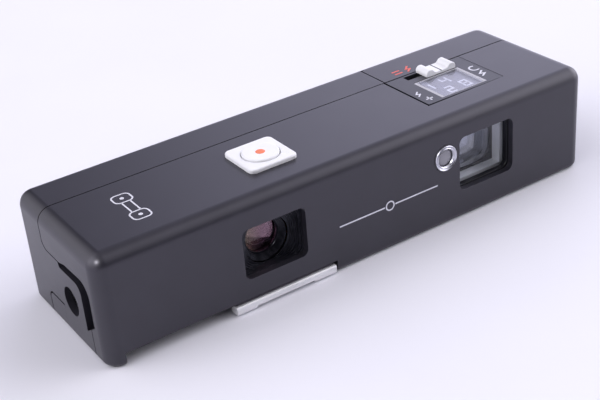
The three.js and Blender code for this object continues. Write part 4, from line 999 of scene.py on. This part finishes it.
def make_works():
    for node, name, bevel in (
        ("chassis", "inner_chassis", 0.12),
        ("shutter_base", "shutter_plate", 0.05),
        ("shutter_blade", "shutter_leaf", 0.02),
        ("release_lever", "release_rocker", 0.06),
        ("circuit_board", "circuit_card", 0.05),
        ("control_chip", "control_package", 0.15),
        ("light_cell", "light_cell_body", 0.08),
    ):
        refined(node, name, bevel)
    for node, axis in (("shutter_pivot", "Y"), ("release_lever_pin", "Y"), ("timing_capacitor", "Z")):
        (low, high), along = span(node), "XYZ".index(axis)
        width = high.x - low.x
        profile = pin_profile(width / 2, low[along], high[along], width * 0.08)
        publish(node + "_turned", turned(axis, centre(node), profile, 40), [node])
    place, (low, high) = centre("shutter_magnet"), span("shutter_magnet")
    wind = [(0, low.z), (0.7, low.z), (0.7, low.z + 0.6)]
    turns = 14
    z0, z1 = low.z + 0.6, high.z - 1.2
    for i in range(turns):
        z = z0 + (z1 - z0) * i / turns
        wind += [(1.55, z), (1.7, z + 0.08), (1.7, z + 0.22)]
    wind += [(1.55, z1), (0.7, z1), (0.7, high.z), (0, high.z)]
    publish("magnet_winding", turned("Z", place, wind, 40), ["shutter_magnet"])
    place, (low, high) = centre("release_spring"), span("release_spring")
    wire = helix("Z", place, 2.1, low.z + 0.22, high.z - 0.22, 5)
    spring = publish("release_spring_wire", tube(wire, 0.22), ["release_spring"])
    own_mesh(spring)


make_works()

# ---- printed marks
INK = 0.03  # thickness of a printed mark
SUNK = 0.005  # how far it starts below its face


def ribbon(points, width, loop=False):
    """The outline strip of a line of constant width, as quads."""
    points = [Vector(p) for p in points]
    count = len(points)
    pairs = []
    for i, point in enumerate(points):
        before = points[(i - 1) % count] if loop or i else point
        after = points[(i + 1) % count] if loop or i < count - 1 else point
        into = (point - before).normalized() if before != point else (after - point).normalized()
        out = (after - point).normalized() if after != point else into
        along = (into + out).normalized()
        side = Vector((-along.y, along.x))
        reach = width / 2 / max(along.dot(out), 0.4)
        pairs.append((point + side * reach, point - side * reach))
    ends = list(range(count)) + ([0] if loop else [])
    return [[pairs[a][0], pairs[a][1], pairs[b][1], pairs[b][0]] for a, b in zip(ends, ends[1:])]


def printed(name, axis, faces, level, outwards=1, slot="white_key", finish="white_ink"):
    """Thin ink made of flat faces drawn in a face's own two axes, sunk a little into it."""
    level -= SUNK * outwards
    bm = bmesh.new()
    for face in faces:
        bm.faces.new([bm.verts.new(PLACES[axis](a, b, level)) for a, b in face])
    bmesh.ops.remove_doubles(bm, verts=bm.verts, dist=1e-4)
    bmesh.ops.recalc_face_normals(bm, faces=bm.faces)
    made = bmesh.ops.extrude_face_region(bm, geom=bm.faces[:])
    shift = Vector(PLACES[axis](0, 0, INK * outwards))
    raised = [part for part in made["geom"] if isinstance(part, bmesh.types.BMVert)]
    bmesh.ops.translate(bm, verts=raised, vec=shift)
    bmesh.ops.recalc_face_normals(bm, faces=bm.faces)
    mesh = bpy.data.meshes.new(name)
    bm.to_mesh(mesh)
    bm.free()
    publish(name, mesh, body="camera_body", slot=slot, finish=finish)


def make_marks():
    """A film-cartridge pictogram on the top, a hairline with a ring on the front, and symbols."""
    x, y, half = -50.5, -5.0, 4.3
    cartridge = []
    for side in (-1, 1):
        cartridge += ribbon(rounded(x, y + side * half, 4.2, 3.6, 1.2), 0.36, loop=True)
        cartridge += ribbon([(x + side, y - half + 1.85), (x + side, y + half - 1.85)], 0.34)
        cartridge.append(circle(x, y + side * half, 0.5, 20))
    printed("cartridge_symbol", "Z", cartridge, TOP)
    z, width = 11.4, 0.34
    line = ribbon([(-8.2, z), (4.5, z)], width) + ribbon([(7.5, z), (20.0, z)], width)
    line += ribbon(circle(6, z, 1.1, 40), width, loop=True)
    printed("front_hairline", "Y", line, FRONT, outwards=-1)
    # selector: symbols left and right of the window, red ones behind the left end of its slot
    width = 0.4
    left = ribbon([(26.9, -4.9), (28.0, -3.9), (27.2, -3.5), (28.3, -2.4)], width)
    left += ribbon([(28.2, -8.2), (28.2, -6.2)], width) + ribbon([(27.2, -7.2), (29.2, -7.2)], width)
    printed("selector_marks_left", "Z", left, PLATE_TOP)
    right = ribbon([(45.8, -6.2), (47.4, -5.2), (46.2, -4.7), (47.8, -3.5)], 0.46)
    right += ribbon(arc(47.3, -1.3, 1.25, 60, 300, 14), 0.46)
    printed("selector_marks_right", "Z", right, PLATE_TOP)
    red = ribbon([(34.2, 8.4), (35.6, 9.5), (34.6, 9.8), (36.0, 11.2)], 0.5)
    for y in (9.0, 10.4):
        red += ribbon([(30.6, y), (32.9, y)], 0.5)
    printed("selector_marks_red", "Z", red, TOP, finish="red_ink")
    # numbers on the card under the window, in plain strokes
    strokes = {
        "1": [[(0, 3), (0, 0)]],
        "2": [[(-0.9, 3), (0.9, 3), (0.9, 1.5), (-0.9, 1.5), (-0.9, 0), (0.9, 0)]],
        "4": [[(-0.9, 3), (-0.9, 1.5), (0.9, 1.5)], [(0.9, 3), (0.9, 0)]],
        "8": [[(-0.9, 0), (-0.9, 3), (0.9, 3), (0.9, 0), (-0.9, 0)], [(-0.9, 1.5), (0.9, 1.5)]],
    }
    numbers = []
    for digit, x, y in (("1", 33.6, -3.0), ("2", 36.0, -7.2), ("4", 38.2, -2.4), ("8", 41.0, -6.8)):
        for stroke in strokes[digit]:
            numbers += ribbon([(x + a, y + b) for a, b in stroke], 0.55)
    printed("scale_numbers", "Z", numbers, span("scale_card")[1].z, slot="printed_card")


make_marks()

# ---- studio
FLOOR_REACH = 1.6
FLOOR_DROP = 0.00005  # keeps the floor clear of the underside


def make_floor():
    bm = bmesh.new()
    bmesh.ops.create_grid(bm, x_segments=8, y_segments=8, size=FLOOR_REACH)
    mesh = bpy.data.meshes.new("floor")
    bm.to_mesh(mesh)
    bm.free()
    floor = as_object(mesh)
    floor.name = "floor"
    floor.location.z = -FLOOR_DROP
    paper = surface("pale_paper", (0.83, 0.825, 0.88), 0.7, grain=0.8, bump=0.05, fleck=0.006, blotch=60)
    mesh.materials.append(paper)


def make_side_lamp():
    """A lamp that only puts highlights on the corners."""
    data = bpy.data.lights.new("side_lamp", "AREA")
    data.shape = "RECTANGLE"
    data.size, data.size_y = 0.16, 0.16
    data.energy = 5.0
    data.color = (1.0, 0.99, 1.0)
    lamp = bpy.data.objects.new("side_lamp", data)
    bpy.context.scene.collection.objects.link(lamp)
    lamp.visible_diffuse = False
    lamp.location = (-0.6, -0.35, 0.57)
    lamp.rotation_euler = (-lamp.location).to_track_quat("-Z", "Y").to_euler()


# soft sources round the room: azimuth, elevation, outer and inner radius in degrees, strength
COOL_SOURCES = ((30, 22, 38, 18, 1.16), (50, 20, 30, 8, 0.72))
PLAIN_SOURCES = (
    (-15, 20, 45, 10, 3.25), (140, 30, 50, 0, 1.6), (180, 25, 50, 0, 1.85), (-47, 47, 35, 10, 0.75),
    (0, 90, 50, 0, 0.5),
)


def make_glow(direction, sources, colour):
    """Light from a set of soft round patches of the surroundings."""
    total = None
    for azimuth, elevation, outer, inner, strength in sources:
        turn, rise = math.radians(azimuth), math.radians(elevation)
        aim = Vector((math.cos(rise) * math.cos(turn), math.cos(rise) * math.sin(turn), math.sin(rise)))
        dot = computed("VectorMath", "DOT_PRODUCT", direction, aim).outputs["Value"]
        edges = [math.cos(math.radians(r)) for r in (outer, inner)]
        patch = mapped(dot, *edges, 0.0, strength, kind="SMOOTHSTEP")
        total = computed("Math", "ADD", total, patch).outputs[0] if total else patch
    return new_node(direction, "Background", {"Color": colour, "Strength": total}).outputs[0]


def make_world():
    world = bpy.data.worlds.new("room")
    world.use_nodes = True
    bpy.context.scene.world = world
    nodes = world.node_tree.nodes
    direction = nodes.new("ShaderNodeTexCoord").outputs["Generated"]
    cool = make_glow(direction, COOL_SOURCES, (0.89, 0.88, 1.1))
    plain = make_glow(direction, PLAIN_SOURCES, (0.92, 0.905, 0.975))
    both = new_node(direction, "AddShader", {0: cool, 1: plain})
    fed(nodes["World Output"], {"Surface": both.outputs[0]})


def make_camera():
    """A camera at the photo's angle."""
    data = bpy.data.cameras.new("camera")
    data.lens = 73.2605
    data.sensor_width = 36
    data.clip_start, data.clip_end = 0.01, 20
    camera = bpy.data.objects.new("camera", data)
    bpy.context.scene.collection.objects.link(camera)
    camera.location = Vector((-138.06, -212.88, 151.58)) * MM
    camera.rotation_euler = [math.radians(a) for a in (60.2856, 4.3518, -34.3216)]
    bpy.context.scene.camera = camera


make_floor()
make_world()
make_side_lamp()
make_camera()
bpy.context.scene.view_settings.view_transform = "Standard"
